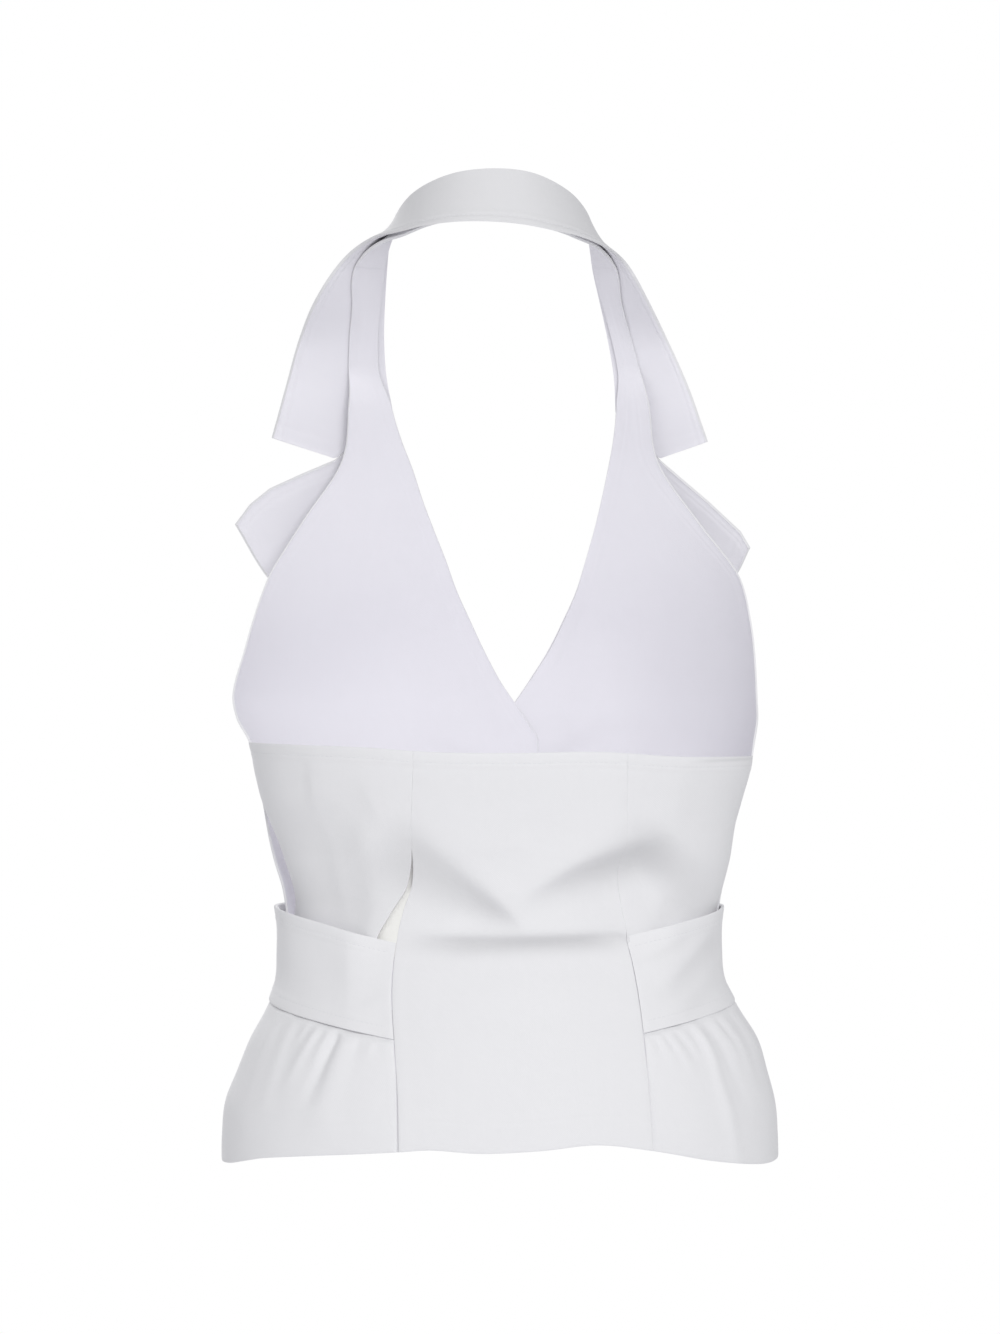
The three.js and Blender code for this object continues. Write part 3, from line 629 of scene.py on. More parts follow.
def centre_back(u, v):
    def across(z):
        return mix(seam_left(z) - seam_gap(z), seam_right(z) + seam_gap(z), u)

    x_low, x_high = across(10), across(230)
    low = hem_at(180 - angle_at(x_low, 10))
    high = back_top(x_high)
    z = mix(low, high, v)
    x = across(z)
    relief = turned_edge(high - z)
    relief -= 0.5 * exp(-(z - low) / 0.8)
    relief -= 0.06 * hump(z - low - 16, 1.2)
    wide = seam_left(z) - seam_right(z)
    relief += seam_edge(u * wide, z) + seam_edge((1 - u) * wide, z)
    relief += soft_ripple(x, z, 3.0)
    return body(180 - angle_at(x, z), z, relief)


piece = cloth_piece(
    "centre_back_cloth", centre_back, 120, 210, 1.2, "centre_back",
    shade=painted_fold_shade,
)
sew("centre_back_stitching", centre_back, lambda t: (t, 1 - 6 / 220))

# Side backs: from the princess seam to the side seam, in the same cotton, turned in and stitched along the
# top. The left one's princess seam has opened into a pleat over the belt, with its under cloth showing.
PLEAT = table("z open lift", [
    (110, 11, 1.6),
    (127, 10.8, 2.0),
    (138, 7.0, 2.3),
    (147, 4.2, 2.5),
    (154, 2.3, 2.6),
    (160, 1.9, 2.3),
    (167, 1.1, 1.5),
    (173, 0.5, 0.7),
    (180, 0, 0),
    (190, 0, 0),
])
pleat_open = curve(PLEAT, "z", "open")
pleat_lift = curve(PLEAT, "z", "lift")
BELT = table("angle low high left right", [
    (0, 90, 143, 0, 0),
    (50, 90, 143, 0.8, 0.4),
    (78, 89.5, 142.7, 3.2, 0.5),
    (95, 88, 141.5, 3.8, 0.5),
    (125, 80.5, 134, 1.4, 0.2),
    (152, 70.5, 123, 0, 0),
])
belt_low = curve(BELT, "angle", "low")
belt_high = curve(BELT, "angle", "high")


def from_front(angle):
    return abs(360 - angle if angle > 180 else angle)


def waist_seam(angle):
    return belt_low(from_front(angle)) + 16


def tuck(away, angle, z):
    """How far the cloth under the belt is pushed in beside the princess seam."""
    top = belt_high(from_front(angle))
    return -2.6 * exp(-away / 12) * (1 - ease(z, top - 10, top - 3))


def side_seam(degrees_away):
    """Relief of cloth beside a side seam, which is pressed open and not topstitched."""
    away = degrees_away * 1.75
    return -0.4 * exp(-away / 0.9) + 0.12 * hump(away - 5, 3.5)


def side_back(side):
    left = side == "left"
    seam = seam_left if left else seam_right

    def place(u, v):
        from_seam = 1 - u if left else u

        def angle_for(z):
            at_seam = seam(z) + seam_gap(z) * (1 if left else -1)
            if left:
                at_seam += pleat_open(z)
            back = 180 - angle_at(at_seam, z)
            sides = 90.1 if left else 269.9
            return mix(back, sides, from_seam)

        low = waist_seam(angle_for(100)) + 0.2
        high = back_top(form_x(angle_for(230), 230))
        z = mix(low, high, v)
        angle = angle_for(z)
        x = form_x(angle, z)
        away = abs(x - seam(z)) * 1.15
        relief = turned_edge(high - z)
        if left:
            gone = away - pleat_open(z) * 1.15
            lift = pleat_lift(z)
            relief += lift * exp(-max(gone, 0) / 16)
            relief += seam_edge(gone, z) * (1 - 0.75 * ease(lift, 0.3, 1.5))
        else:
            relief += seam_edge(away, z)
        relief += tuck(away, angle, z)
        relief += side_seam(abs(angle - (90.1 if left else 269.9)))
        relief += soft_ripple(x, z, 11.0 if left else 15.0)
        return body(angle, z, relief)

    return place


side_back_places = {side: side_back(side) for side in ("left", "right")}
for side, place in side_back_places.items():
    piece = cloth_piece(
        "side_back_cloth_" + side, place, 90, 130, 1.2,
        "side_back_" + side, shade=painted_fold_shade,
    )
    sew("side_back_stitching_" + side, place, lambda t: (t, 1 - 6 / 138))


def pleat_under(u, v):
    z = mix(116, 182, v)
    seam = seam_left(z) + seam_gap(z)
    out = 1 - u
    x = seam + out * (pleat_open(z) + 7)
    relief = -0.2 - 1.2 * out - 3.0 * ease(z, 152, 160) * ease(out, 0, 0.2)
    return body(180 - angle_at(x, z), z, relief)


# The pleat's under cloth is painted lighter and warmer than the rest of the cotton, a painted highlight for the
# light it catches.
pleat_side = cloth_material("white cotton in the pleat", (0.94, 0.935, 0.90), (0.91, 0.905, 0.87), 0.8, 7.0)
piece = cloth_piece(
    "pleat_under_cloth", pleat_under, 24, 60, 0.9, finish=pleat_side,
)

# Fronts: each runs from the side seam to the closure and up over the bust into a strap that ends under
# the collar. The right one laps over the left, with its edge turned in and stitched.
CENTRE_X = -8
LAP = 14
LAP_RISE = 1.7
BREAK_Z = 236
NECKLINE = table("z left right", [
    (236, -22, 6),
    (257, -8, -8),
    (270, 0.6, -16.6),
    (288, 10, -27.8),
    (306, 18.3, -36.7),
    (323, 26, -44.3),
    (341, 32.5, -49.8),
    (359, 39.6, -54.9),
    (376, 46, -58.9),
    (394, 51.8, -62.6),
    (411, 58.3, -65.6),
    (428, 63.3, -67.2),
    (451, 67.6, -66.2),
    (470, 68.1, -62),
    (490, 67.4, -57.5),
])
ARMHOLE = table("z left right", [
    (236, 143.2, -144),
    (248, 150.4, -146.2),
    (262, 153.7, -147),
    (288, 147.8, -146),
    (305, 143.3, -144.2),
    (323, 137.6, -141),
    (335, 132.8, -136),
    (364, 115.5, -114.5),
    (398, 93.5, -92),
    (430, 89, -86.5),
    (460, 88, -81.5),
])
roll_x = {side: curve(NECKLINE, "z", side) for side in ("left", "right")}
armhole_x = {side: curve(ARMHOLE, "z", side) for side in ("left", "right")}
LEAF_HALF = 230
LEAF_OUT = 3.8
FALL = table("row rollX rollY rollZ edgeX edgeY edgeZ", [
    (0, 63.8, -88, 429.5, 134, -66, 411.8),
    (1, 67.2, -76, 449, 124.9, -50, 443),
    (2, 68.1, -58, 469.5, 117.3, -34, 467.5),
    (3, 67.4, -39, 489.7, 107.2, -17, 488.4),
    (4, 65.9, -18, 508.7, 90.5, 3, 510.3),
    (5, 63.7, 5, 525.5, 73.6, 27, 520.6),
    (6, 56.4, 27, 538.8, 56.9, 49, 522.6),
    (7, 45.2, 46, 547.6, 41.3, 64, 525),
    (8, 26.8, 61, 554.2, 24, 73, 526.2),
    (9, 6, 66, 556.4, 6, 76, 526),
    (10, -14.3, 61.5, 555.2, -12, 73, 524.6),
    (11, -30.7, 48.5, 550, -28.5, 66, 522),
    (12, -43.6, 30, 541.8, -44.2, 52, 519.6),
    (13, -51.8, 8, 529.2, -59.4, 31, 515.4),
    (14, -52.8, -16, 510.2, -71.8, 4, 508),
    (15, -57.5, -39, 489.7, -84.2, -16, 489.6),
    (16, -62, -58, 470, -96.4, -34, 468.4),
    (17, -65.9, -76, 449, -109.2, -50, 441.5),
    (18, -67.3, -87, 427.2, -121, -66, 409.7),
])
FALL_END = 18
STRAP_ROW = 4
STRAP_INSET = 0.07
STRAP = table("row share", [
    (0, 0.33),
    (1, 0.38),
    (2, 0.41),
    (3, 0.48),
    (4, 0.72),
    (6, 0.72),
])
strap_reach = curve(STRAP, "row", "share", step=0.02)
NOTCH_SHARE = 0.555
NOTCH = {"left": (-5.3, -19.3), "right": (4, -17.2)}
fall_read = {key: curve(FALL, "row", key, step=0.02) for key in FALL[0] if key != "row"}


def lap_rise(side, x):
    return LAP_RISE * (1 - ease(CENTRE_X - x, 18, 45)) if side == "right" else 0.0


def front_at(side, x, z, lift=0.0):
    return body(angle_at(x, z), z, lap_rise(side, x) + lift)


def smooth_larger(a, b, blend):
    share = min(max(0.5 + (a - b) / blend / 2, 0), 1)
    return mix(b, a, share) + blend * share * (1 - share)


def leaf_depth(side, x, z):
    """How far forward the outer face of a lapel or collar front lies."""
    roll = roll_x[side](z)
    level = z + max(0.0, abs(x) - NECK_HALF) * SHOULDER_DROP * ease(z, 380, 450)
    flat_roll = sqrt(1 - (roll / LEAF_HALF) ** 2)
    flat_here = sqrt(1 - (x / LEAF_HALF) ** 2)
    forward = LEAF_OUT - front_at(side, roll, z).y - form_front(level) * (flat_roll - flat_here)
    clear = 3.6 - front_at(side, x, z).y
    return -smooth_larger(forward, clear, 1.5)


def fall_at(row, share, notched=True):
    """A point of the collar's fall, from its left front end over the nape to its right one."""
    read = {key: line(row) for key, line in fall_read.items()}
    x = mix(read["rollX"], read["edgeX"], share)
    y = mix(read["rollY"], read["edgeY"], share)
    z = mix(read["rollZ"], read["edgeZ"], share)
    side = "left" if row < FALL_END / 2 else "right"
    from_end = min(row, FALL_END - row)
    near = max(0.0, 1 - from_end / 2.4) ** 2 if notched else 0.0
    bend = share / NOTCH_SHARE if share < NOTCH_SHARE else (1 - share) / (1 - NOTCH_SHARE)
    x += NOTCH[side][0] * near * bend
    z += NOTCH[side][1] * near * bend
    if from_end < STRAP_ROW:
        y = mix(y, leaf_depth(side, x, z), 1 - ease(read["rollZ"], 465, 503))
    return Vector((x, y, z))


def under_fall(row, share, depth, notched=True):
    """The same place moved in towards the wearer, square to the fall."""
    step = 0.05
    along = fall_at(row + step, share, notched) - fall_at(row - step, share, notched)
    up = fall_at(row, share - step, notched) - fall_at(row, share + step, notched)
    return fall_at(row, share, notched) - along.cross(up).normalized() * depth


def row_over(side, z, share):
    """The row of the fall over a height, along a cross line that turns square to the collar as it climbs."""
    step = 1 if side == "left" else -1
    across = share * (1 - ease(z, 470, 500))

    def height(row):
        return mix(FALL[row]["rollZ"], FALL[row]["edgeZ"], across)

    row = 0 if side == "left" else FALL_END
    while min(row + step, FALL_END - row - step) < STRAP_ROW and height(row + step) < z:
        row += step
    return row + step * (z - height(row)) / (height(row + step) - height(row))


def strap_share(row):
    return strap_reach(min(row, FALL_END - row))


def front_edges(side, z):
    """Degrees round the form of a front's closing edge and of its outer edge, at a height."""
    sign = 1 if side == "left" else -1
    if z < BREAK_Z:
        return angle_at(CENTRE_X - sign * LAP, z), angle_at(form_x(sign * 89.9, z), z)
    outer = mix(sign * 89.9, angle_at(armhole_x[side](z), z), ease(z, BREAK_Z - 1, BREAK_Z + 24))
    return angle_at(roll_x[side](z), z), outer


def front_bottom(side, from_edge):
    return waist_seam(mix(*front_edges(side, 100), from_edge)) + 0.2


STRAP_TOP = {"left": FALL[STRAP_ROW]["rollZ"], "right": FALL[FALL_END - STRAP_ROW]["rollZ"]}


def front(side):
    left = side == "left"
    sign = 1 if left else -1

    def place(u, v):
        from_edge = u if left else 1 - u
        z = mix(front_bottom(side, from_edge), STRAP_TOP[side], v)
        at = min(z, 455)
        edge, outer = front_edges(side, at)
        angle = mix(edge, outer, from_edge)
        x = form_x(angle, at)
        from_outer = abs(outer - angle) * 2.2
        relief = 0.6 * turned_edge(abs(x - form_x(edge, at)))
        if z > BREAK_Z - 12:
            relief += 0.6 * turned_edge(from_outer) * ease(z, BREAK_Z - 4, BREAK_Z)
        relief += side_seam(from_outer) * (1 - ease(z, BREAK_Z - 16, BREAK_Z - 6))
        relief += soft_ripple(x, z, 21.0 if left else 25.0)
        chest = body(angle, at, lap_rise(side, x) + relief)
        if z <= 430:
            return chest
        share = mix(STRAP_INSET, strap_share(row_over(side, z, 0.2)), from_edge)
        strap = under_fall(row_over(side, z, share), share, 2.5 - relief * 0.2, notched=False)
        return chest.lerp(strap, ease(z, 430, 455))

    return place


def front_line(side, inset, low, high, outer=False):
    """A path up a front at a distance inside its closing edge or its outer edge."""
    def path(t):
        z = mix(low, high, t)
        start, end = front_edges(side, z)
        if outer:
            from_edge = 1 - inset / 2.2 / abs(end - start)
        else:
            from_edge = degrees(inset / form_half(z)) / cos(radians(start)) / abs(end - start)
        bottom = front_bottom(side, from_edge)
        return from_edge if side == "left" else 1 - from_edge, (z - bottom) / (STRAP_TOP[side] - bottom)

    return path


def front_spot(side, x, z):
    """The place on a front's own grid that lies at x and z."""
    start, end = front_edges(side, z)
    from_edge = (angle_at(x, z) - start) / (end - start)
    bottom = front_bottom(side, from_edge)
    return from_edge if side == "left" else 1 - from_edge, (z - bottom) / (STRAP_TOP[side] - bottom)


front_places = {side: front(side) for side in ("left", "right")}
for side, place in front_places.items():
    piece = cloth_piece(
        "front_cloth_" + side, place, 100, 180, 1.0,
        "front_" + side, shade=painted_fold_shade,
    )
    armhole = front_line(side, 6, BREAK_Z + 3, 425, outer=True)
    sew("armhole_stitching_" + side, place, armhole)
sew("closing_stitching", front_places["right"], front_line("right", 6, 108, BREAK_Z - 2))

# Peplums: the skirt of the top, cut wider than the waist seam and gathered into it at the back and sides,
# plain at the front. Each runs from the princess seam round the hip to the front edge, with a turned hem.
GATHERS = {
    "left": table("angle spread rise reach drift", [
        (151.0, 0.8, -0.8, 12, 0),
        (149.0, 1.0, 0.8, 16, 0),
        (147.2, 0.6, -0.5, 9, 0),
        (145.6, 0.8, -1.2, 15, 0),
        (142.2, 2.3, 3.0, 64, -2),
        (139.0, 1.2, -4.2, 46, -3.2),
        (136.4, 0.9, 1.2, 24, -2.5),
        (134.4, 0.6, -0.6, 12, -2),
        (132.2, 1.2, 2.0, 40, -5),
        (129.6, 0.9, -0.6, 20, -4),
        (127.8, 0.9, 0.5, 16, -2),
        (124.5, 1.9, -0.8, 60, 1),
        (120.8, 1.8, 0.8, 60, 1),
        (116.5, 1.4, -0.5, 22, 1),
        (112.0, 1.9, 0.8, 44, 1),
        (106.0, 2.2, -0.6, 40, 1),
    ]),
    "right": table("angle spread rise reach drift", [
        (145.8, 0.7, 0.8, 12, -1),
        (144.1, 0.7, -0.9, 18, -2),
        (142.5, 0.8, 1.0, 22, -3),
        (140.8, 0.6, -0.7, 14, -2),
        (139.2, 0.9, 1.3, 30, -5),
        (137.1, 0.8, -0.9, 24, -5),
        (135.0, 0.9, 0.6, 18, -3),
        (132.6, 1.4, -1.1, 46, -8),
        (129.5, 1.7, 2.7, 104, -8),
        (125.6, 1.6, -1.3, 60, -9),
        (122.0, 1.2, 0.8, 30, -6),
        (119.2, 0.9, -0.6, 18, -3),
        (115.2, 1.7, 0.9, 50, -5),
        (109.4, 1.9, -0.7, 46, -3),
        (103.6, 2.0, 0.6, 32, -2),
    ]),
}


def gather_relief(side, angle, z):
    """Rise of the gathers below the belt, with the fullness that they give the cloth."""
    below = belt_low(from_front(angle)) - z
    if below <= -1:
        return 0.0
    gathered = ease(from_front(angle), 70, 100)
    relief = 2.5 * gathered * ease(below, -0.5, 0.6) * (1 - ease(below, 5, 46))
    for gather in GATHERS[side]:
        down = min(max(below / gather["reach"], 0), 1)
        away = (from_front(angle) - gather["angle"] - gather["drift"] * down) / gather["spread"]
        away /= 1 + 0.9 * down
        if abs(away) < 3:
            relief += 0.66 * gather["rise"] * exp(-away * away) * ease(below, -1, 7) * (1 - down * down)
    return relief


def peplum(side):
    left = side == "left"
    sign = 1 if left else -1
    seam = seam_left if left else seam_right

    def place(u, v):
        from_edge = u if left else 1 - u

        def angle_for(z):
            edge = sign * angle_at(CENTRE_X - sign * LAP, z)
            back = 180 - sign * angle_at(seam(z) + sign * seam_gap(z), z)
            if from_edge < 0.34:
                angle = mix(edge, 95, from_edge / 0.34)
            else:
                angle = mix(95, back, (from_edge - 0.34) / 0.66)
            return angle if left else 360 - angle

        low = hem_at(angle_for(5))
        high = waist_seam(angle_for(95)) - 0.2
        z = mix(low, high, v)
        angle = angle_for(z)
        x = form_x(angle, z)
        lap = lap_rise(side, x) if from_front(angle) < 60 else 0.0
        relief = gather_relief(side, angle, z)
        relief -= 0.5 * exp(-(z - low) / 0.8)
        relief -= 0.06 * hump(z - low - 16, 1.3)
        relief += 0.5 * sin(radians(angle) * 9 + 1.1) * hump(z - low, 22)
        if from_front(angle) > 90:
            away = abs(x - seam(z)) * 1.15
            relief += seam_edge(away, z) + tuck(away, angle, z)
        else:
            relief += turned_edge(abs(x - (CENTRE_X - sign * LAP)))
        relief += soft_ripple(angle * 2.4, z, 31.0 if left else 35.0)
        return body(angle, z, lap + relief)

    return place


peplum_places = {side: peplum(side) for side in ("left", "right")}
for side, place in peplum_places.items():
    piece = cloth_piece(
        "peplum_cloth_" + side, place, 300, 76, 1.2,
        "peplum_" + side, spacing=(lambda s: s, dense_ends),
    )
sew("peplum_closing_stitching", peplum_places["right"], lambda t: (1 - 6 / 280, mix(0.02, 0.86, t)))

# Belt: two doubled bands of the same cotton, each sewn into a princess seam and carried round the side to
# close in front. They are edge-stitched all round, and the left one stands off the waist at its side.
BELT_OUT = 0.8
BELT_THICK = 1.6
belt_off = {side: curve(BELT, "angle", side) for side in ("left", "right")}


BELT_FOLDS = {
    "left": table(FOLD_NAMES, [
        (90, 132, 84, 80, 2, 0.5, 0.5, 7, 7, 1.0, 0.1),
        (64, 96, 80, 84, 1, 0.5, 0.5, 3, 3, 0.5, 0.1),
    ]),
    "right": table(FOLD_NAMES, [
        (-82, 94, -118, 130, -2.5, 0.5, 0.85, 4.5, 5, 1.8, 0.25),
        (-92, 84, -120, 108, -2, 0.5, 0.5, 4, 5, 0.8, 0.15),
        (-74, 114, -106, 129, -1, 0.5, 0.6, 2.2, 3, 0.7, 0.15),
    ]),
}


def belt_lift(side, angle, x, up):
    away = from_front(angle)
    beyond = CENTRE_X - x
    lift = BELT_OUT + BELT_THICK + belt_off[side](away) * mix(0.1, 1, up)
    if away > 70:
        return lift
    reach = beyond if side == "right" else -beyond
    lift += LAP_RISE * (1 - ease(reach, 18, 45))
    if side == "right":
        lift += 2.8 * (1 - ease(beyond, 28, 56))
    return lift


def belt(side):
    left = side == "left"
    sign = 1 if left else -1
    seam = seam_left if left else seam_right

    def place(u, v):
        from_end = u if left else 1 - u

        def angle_for(z):
            end = sign * angle_at(CENTRE_X - sign * 22, z)
            back = 180 - sign * angle_at(seam(z) + sign * seam_gap(z), z)
            angle = mix(end, back, from_end)
            return angle if left else 360 - angle

        follow = 0.15
        middle = from_front(angle_for(110))
        low, high = belt_low(middle), belt_high(middle)
        z = mix(low, high, v)
        angle = angle_for(z)
        x = form_x(angle, z)
        lift = belt_lift(side, angle, x, v)
        lift += turned_edge(z - low) + turned_edge(high - z)
        if from_front(angle) > 90:
            away = abs(x - seam(z)) * 1.15
            lift += fold_relief(BELT_FOLDS[side], x, z) * ease(away, 0, 12) * ease(from_front(angle), 90, 104)
            lift = mix(0.1, lift, ease(away, 0, 30)) + seam_edge(away, z)
            follow = mix(1, 0.15, ease(away, 0, 30))
        else:
            lift += turned_edge(abs(x - (CENTRE_X - sign * 22)))
        lift += 0.5 * soft_ripple(angle * 2.2, z, 41.0 if left else 45.0)
        return body(angle, z, lift, folds=follow)

    return place


def belt_spot(side, x, z):
    """The place on a belt's own grid that lies at x and z, on its front."""
    sign = 1 if side == "left" else -1
    seam = seam_left if side == "left" else seam_right
    end = sign * angle_at(CENTRE_X - sign * 22, z)
    back = 180 - sign * angle_at(seam(z) + sign * seam_gap(z), z)
    from_end = (sign * angle_at(x, z) - end) / (back - end)
    return from_end if side == "left" else 1 - from_end, (z - belt_low(0)) / (belt_high(0) - belt_low(0))


belt_places = {side: belt(side) for side in ("left", "right")}
for side, place in belt_places.items():
    # Painted crease shade greys the backs of the belts along their folds.
    piece = cloth_piece(
        "belt_cloth_" + side, place, 210, 60, BELT_THICK,
        "belt_" + side,
        shade=lambda spot: fold_shade(BELT_FOLDS[side], spot.x, spot.z) if spot.y > 0 else 0.0,
    )
    sew("belt_upper_stitching_" + side, place, lambda t: (mix(0.01, 0.99, t), 1 - 6 / 53))
    sew("belt_lower_stitching_" + side, place, lambda t: (mix(0.01, 0.99, t), 6 / 53))
sew(
    "belt_end_stitching", belt_places["right"],
    lambda t: belt_spot("right", CENTRE_X + 16, mix(96, 137, t)),
)

# Lapels: doubled leaves turned out along the roll line, cut to a notch under the collar and a point at
# the shoulder. They lie flatter than the chest and stand a little off it.
LAPEL_TOP = {
    "left": table("share x z", [
        (0, 63.8, 429.5),
        (0.36, 97.2, 400.4),
        (0.56, 117.7, 391.6),
        (0.74, 135.3, 383.4),
        (0.87, 146.9, 374),
        (1, 155.6, 362.2),
    ]),
    "right": table("share x z", [
        (0, -67.3, 427.2),
        (0.36, -93.1, 400.3),
        (0.68, -121.8, 375.8),
        (0.93, -140.5, 358.2),
        (1, -146, 348.7),
    ]),
}
LAPEL_OUTER = {
    "left": table("share x z", [
        (0, 155.6, 362.2),
        (0.2, 137, 331),
        (0.48, 104, 296),
        (0.76, 60, 272),
        (1, 3, 255),
    ]),
    "right": table("share x z", [
        (0, -146, 348.7),
        (0.14, -137, 331),
        (0.42, -107, 298),
        (0.74, -56, 264),
        (1, -5, 233),
    ]),
}
LAPEL_LOW = {"left": 262, "right": 239}


def straight(rows, at, key):
    for a, b in zip(rows, rows[1:]):
        if at <= b["share"]:
            break
    return mix(a[key], b[key], (at - a["share"]) / (b["share"] - a["share"]))


def lapel(side):
    sign = 1 if side == "left" else -1
    top_edge = LAPEL_TOP[side]
    outer = {key: curve(LAPEL_OUTER[side], "share", key, step=0.002) for key in ("x", "z")}
    tip = top_edge[-1]
    end = LAPEL_OUTER[side][-1]

    def place(u, v):
        out = u if side == "left" else 1 - u
        down = 1 - v
        roll_z = mix(top_edge[0]["z"], LAPEL_LOW[side], down)
        roll = {"x": roll_x[side](roll_z), "z": roll_z}
        roll_end = {"x": roll_x[side](LAPEL_LOW[side]), "z": LAPEL_LOW[side]}
        spot = {}
        for key in ("x", "z"):
            across = mix(roll[key], outer[key](down), out)
            bottom = mix(roll_end[key], end[key], out)
            rails = mix(straight(top_edge, out, key), bottom, down)
            spot[key] = across + rails - mix(mix(top_edge[0][key], tip[key], out), bottom, down)
        x = spot["x"] + sign * 0.2
        z = spot["z"] - 0.7 * v
        wide = abs(outer["x"](down) - roll["x"]) + 1
        inside = (1 - out) * wide
        relief = turned_edge(inside, 5) + 0.6 * soft_ripple(x, z, 51.0 if sign > 0 else 55.0)
        relief += turned_edge((1 - v) * 190, 5) * ease(out, 0.34, 0.42)
        relief += 0.8 * hump(out * wide, 5)
        return Vector((x, leaf_depth(side, x, z) - relief, z))

    return place


def lapel_edge(side, inset=5):
    """A path down a lapel's outer edge, a distance inside it."""
    outer_x = curve(LAPEL_OUTER[side], "share", "x", step=0.002)

    def path(t):
        down = mix(0.03, 0.97, t)
        roll_z = mix(LAPEL_TOP[side][0]["z"], LAPEL_LOW[side], down)
        wide = abs(outer_x(down) - roll_x[side](roll_z)) + 1
        out = 1 - inset / wide
        return out if side == "left" else 1 - out, 1 - down

    return path


def lapel_notch(side, inset=5):
    """A path along the free part of a lapel's top edge."""
    def path(t):
        out = mix(0.42, 0.95, t)
        return out if side == "left" else 1 - out, 1 - inset / 190

    return path


lapel_places = {side: lapel(side) for side in ("left", "right")}
for side, place in lapel_places.items():
    piece = cloth_piece(
        "lapel_cloth_" + side, place, 100, 110, 1.8,
        "lapel_" + side,
    )
    sew("lapel_stitching_" + side, place, lapel_edge(side))
    sew("lapel_notch_stitching_" + side, place, lapel_notch(side))

# Collar fall: the doubled leaf that turns down round the nape and runs forward to a point on each side,
# stitched 4 mm in from its edge. Its roll line is soft and carries no crease.


def collar_fall(u, v):
    row = u * FALL_END
    share = 1 - v
    wide = 30 + 40 * ease(abs(row - FALL_END / 2), 4, 9)
    inside = (1 - share) * wide
    relief = turned_edge(inside, 4)
    relief -= 0.3 * hump(inside - 4, 0.8)
    relief += 0.35 * soft_ripple(row * 16, share * 40, 61.0)
    relief += turned_edge(min(row, FALL_END - row) * 21, 4) * ease(share, 0.5, 0.6)
    return under_fall(row, share, -relief)


# Painted shade greys the collar fall's colour towards the nape.
piece = cloth_piece(
    "collar_fall_cloth", collar_fall, 260, 44, 1.8, "collar_fall",
    shade=lambda spot: 0.62 * ease(spot.y, -30, 40),
)
sew(
    "collar_fall_stitching", collar_fall,
    lambda t: (mix(0.01, 0.99, t), 4 / (30 + 40 * ease(abs(mix(0.01, 0.99, t) - 0.5) * FALL_END, 4, 9))),
)

# Collar stand: the band inside the fall that stands up round the nape and takes the ends of the straps.
# The wearer's neck bears on its inner face.
STAND_SHARES = (0.86, 0.04)
STAND_LEAN = 2.6


def collar_stand(u, v):
    share = mix(*STAND_SHARES, v)
    row = mix(STRAP_ROW, FALL_END - STRAP_ROW, u)
    to_nape = ease(min(row, FALL_END - row), STRAP_ROW, STRAP_ROW + 2)
    at_strap = mix(STRAP_INSET, strap_share(row), share / STAND_SHARES[0])
    where = mix(at_strap, share, to_nape)
    return under_fall(row, where, 2.5 + STAND_LEAN * to_nape * share)


piece = cloth_piece("collar_stand_cloth", collar_stand, 150, 26, 1.8, "collar_stand")

# Buttons: plain white ones, 15 mm across, with a raised rim, a dished face and four holes, sewn on with
# crossed thread through the right front, and one on the belt.
BUTTON_HEIGHTS = {"top": 221, "middle": 172, "belt": 117}
pearl = bpy.data.materials.new("button")
pearl.use_nodes = True
pearl_tree = pearl.node_tree
pearl_shader = pearl_tree.nodes["Principled BSDF"]
pearl_shader.inputs["Roughness"].default_value = 0.28
pearl_shader.inputs["Coat Weight"].default_value = 0.25
pearl_spot = pearl_tree.nodes.new("ShaderNodeTexCoord")
pearl_cloud = pearl_tree.nodes.new("ShaderNodeTexNoise")
pearl_cloud.inputs["Scale"].default_value = 140
pearl_cloud.inputs["Detail"].default_value = 4
pearl_tree.links.new(pearl_spot.outputs["Object"], pearl_cloud.inputs["Vector"])
pearl_tint = pearl_tree.nodes.new("ShaderNodeMix")
pearl_tint.data_type = "RGBA"
pearl_tint.inputs["A"].default_value = (0.74, 0.74, 0.77, 1)
pearl_tint.inputs["B"].default_value = (0.88, 0.88, 0.90, 1)
pearl_tree.links.new(pearl_cloud.outputs["Fac"], pearl_tint.inputs["Factor"])
pearl_tree.links.new(pearl_tint.outputs["Result"], pearl_shader.inputs["Base Color"])

BUTTON_PROFILE = table("radius rise", [
    (0, 0),
    (6.1, 0),
    (7.2, 0.7),
    (7.5, 1.5),
    (7.4, 2.2),
    (7.0, 2.8),
    (6.3, 3.0),
    (5.7, 2.85),
    (5.2, 2.4),
    (4.4, 2.15),
    (0, 2.05),
])
HOLE_OUT = 1.75
HOLE_RADIUS = 0.85
CORNERS = [(sx * HOLE_OUT, sy * HOLE_OUT) for sx in (-1, 1) for sy in (-1, 1)]


def loose_object(name, bm, material):
    data = bpy.data.meshes.new(name)
    bm.to_mesh(data)
    bm.free()
    data.materials.append(material)
    data.shade_smooth()
    made = bpy.data.objects.new(name, data)
    bpy.context.collection.objects.link(made)
    return made


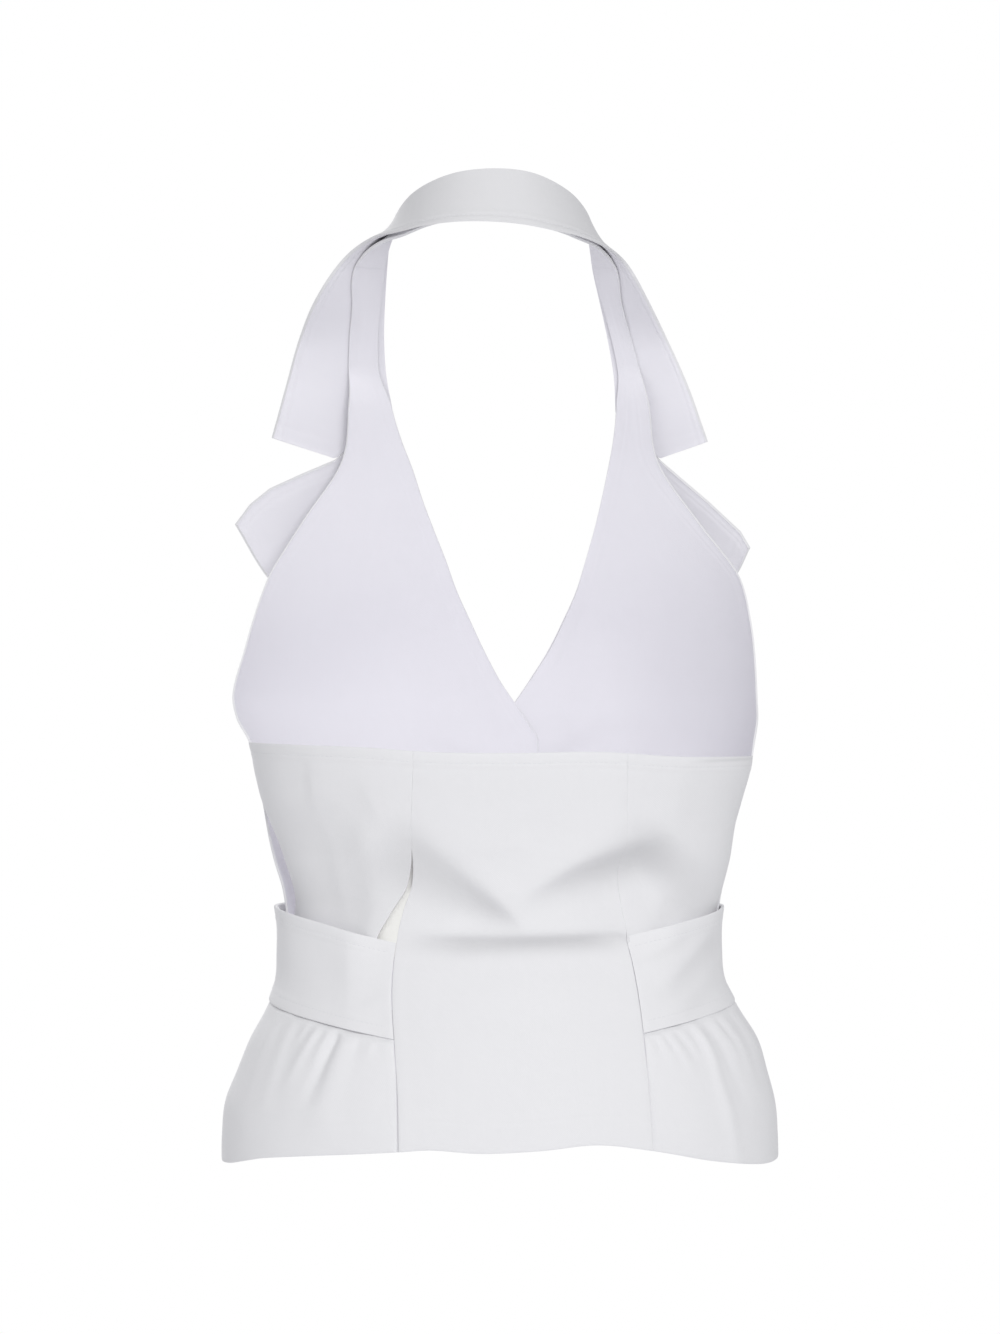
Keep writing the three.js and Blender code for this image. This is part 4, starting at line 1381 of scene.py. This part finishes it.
def button(label, at):
    """A turned disc with four drilled holes."""
    bm = bmesh.new()
    verts = [bm.verts.new((row["radius"], 0, row["rise"])) for row in BUTTON_PROFILE]
    edges = [bm.edges.new(pair) for pair in zip(verts, verts[1:])]
    bmesh.ops.spin(
        bm, geom=verts + edges, cent=(0, 0, 0), axis=(0, 0, 1), angle=2 * pi, steps=56, use_merge=True,
    )
    bmesh.ops.remove_doubles(bm, verts=bm.verts, dist=0.001)
    bmesh.ops.recalc_face_normals(bm, faces=bm.faces)
    bmesh.ops.transform(bm, matrix=at, verts=bm.verts)
    disc = loose_object("sewn_button_" + label, bm, pearl)
    bm = bmesh.new()
    for x, y in CORNERS:
        bmesh.ops.create_cone(
            bm, cap_ends=True, segments=16, radius1=HOLE_RADIUS, radius2=HOLE_RADIUS, depth=8,
            matrix=at @ Matrix.Translation((x, y, 0)),
        )
    drill = loose_object("drill", bm, pearl)
    cut = disc.modifiers.new("holes", "BOOLEAN")
    cut.object = drill
    cut.solver = "EXACT"
    drilled = bpy.data.meshes.new_from_object(disc.evaluated_get(bpy.context.evaluated_depsgraph_get()))
    disc.modifiers.clear()
    disc.data = drilled
    bpy.data.objects.remove(drill)
    drilled.set_sharp_from_angle(angle=radians(38))
    return disc


def button_thread(label, at):
    """Two doubled stitches crossed over the holes, and the wound shank behind."""
    bm = bmesh.new()
    for way in (-1, 1):
        for strand in (-0.24, 0.24):
            turn = Matrix.Rotation(radians(45 * way), 4, "Z")
            lie = Matrix.Translation((0, strand, 2.3 if way > 0 else 2.12))
            size = Matrix.Diagonal((6.1, 0.46, 0.6, 1))
            bmesh.ops.create_uvsphere(bm, u_segments=16, v_segments=8, radius=0.5, matrix=at @ turn @ lie @ size)
    bmesh.ops.create_cone(
        bm, cap_ends=True, segments=20, radius1=1.5, radius2=1.2, depth=1.6,
        matrix=at @ Matrix.Translation((0, 0, -0.5)),
    )
    return loose_object("button_thread_" + label, bm, thread)


def buttonhole_path(spot, side, height):
    """Along the upper side of a level buttonhole, round its end bar and back along the lower side."""
    def path(t):
        if t < 0.45:
            along, up = t / 0.45, 0.8
        elif t < 0.55:
            along, up = 1, mix(0.8, -0.8, (t - 0.45) / 0.1)
        else:
            along, up = (1 - t) / 0.45, -0.8
        return spot(side, CENTRE_X + 2 - 18 * along, height + up)

    return path


for label, height in BUTTON_HEIGHTS.items():
    on_belt = label == "belt"
    place = belt_places["right"] if on_belt else front_places["right"]
    spot = belt_spot if on_belt else front_spot
    across = place(*spot("right", CENTRE_X + 4, height)) - place(*spot("right", CENTRE_X - 4, height))
    up = place(*spot("right", CENTRE_X, height + 6)) - place(*spot("right", CENTRE_X, height - 6))
    out = across.cross(up).normalized()
    centre = place(*spot("right", CENTRE_X, height)) + out * 1.0
    turn = out.to_track_quat("Z", "Y").to_matrix().to_4x4()
    at = Matrix.Translation(metres(centre)) @ Matrix.Diagonal((0.001, 0.001, 0.001, 1)) @ turn
    piece = button(label, at)
    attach(piece, "root")
    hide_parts("button_" + label)
    stitches = button_thread(label, at)
    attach(stitches, "root")
    hole = buttonhole_path(spot, "right", height)
    sew("buttonhole_" + label, place, hole, pitch=0.5, long=0.62, thick=1.5, rise=0.42, lift=0.05)
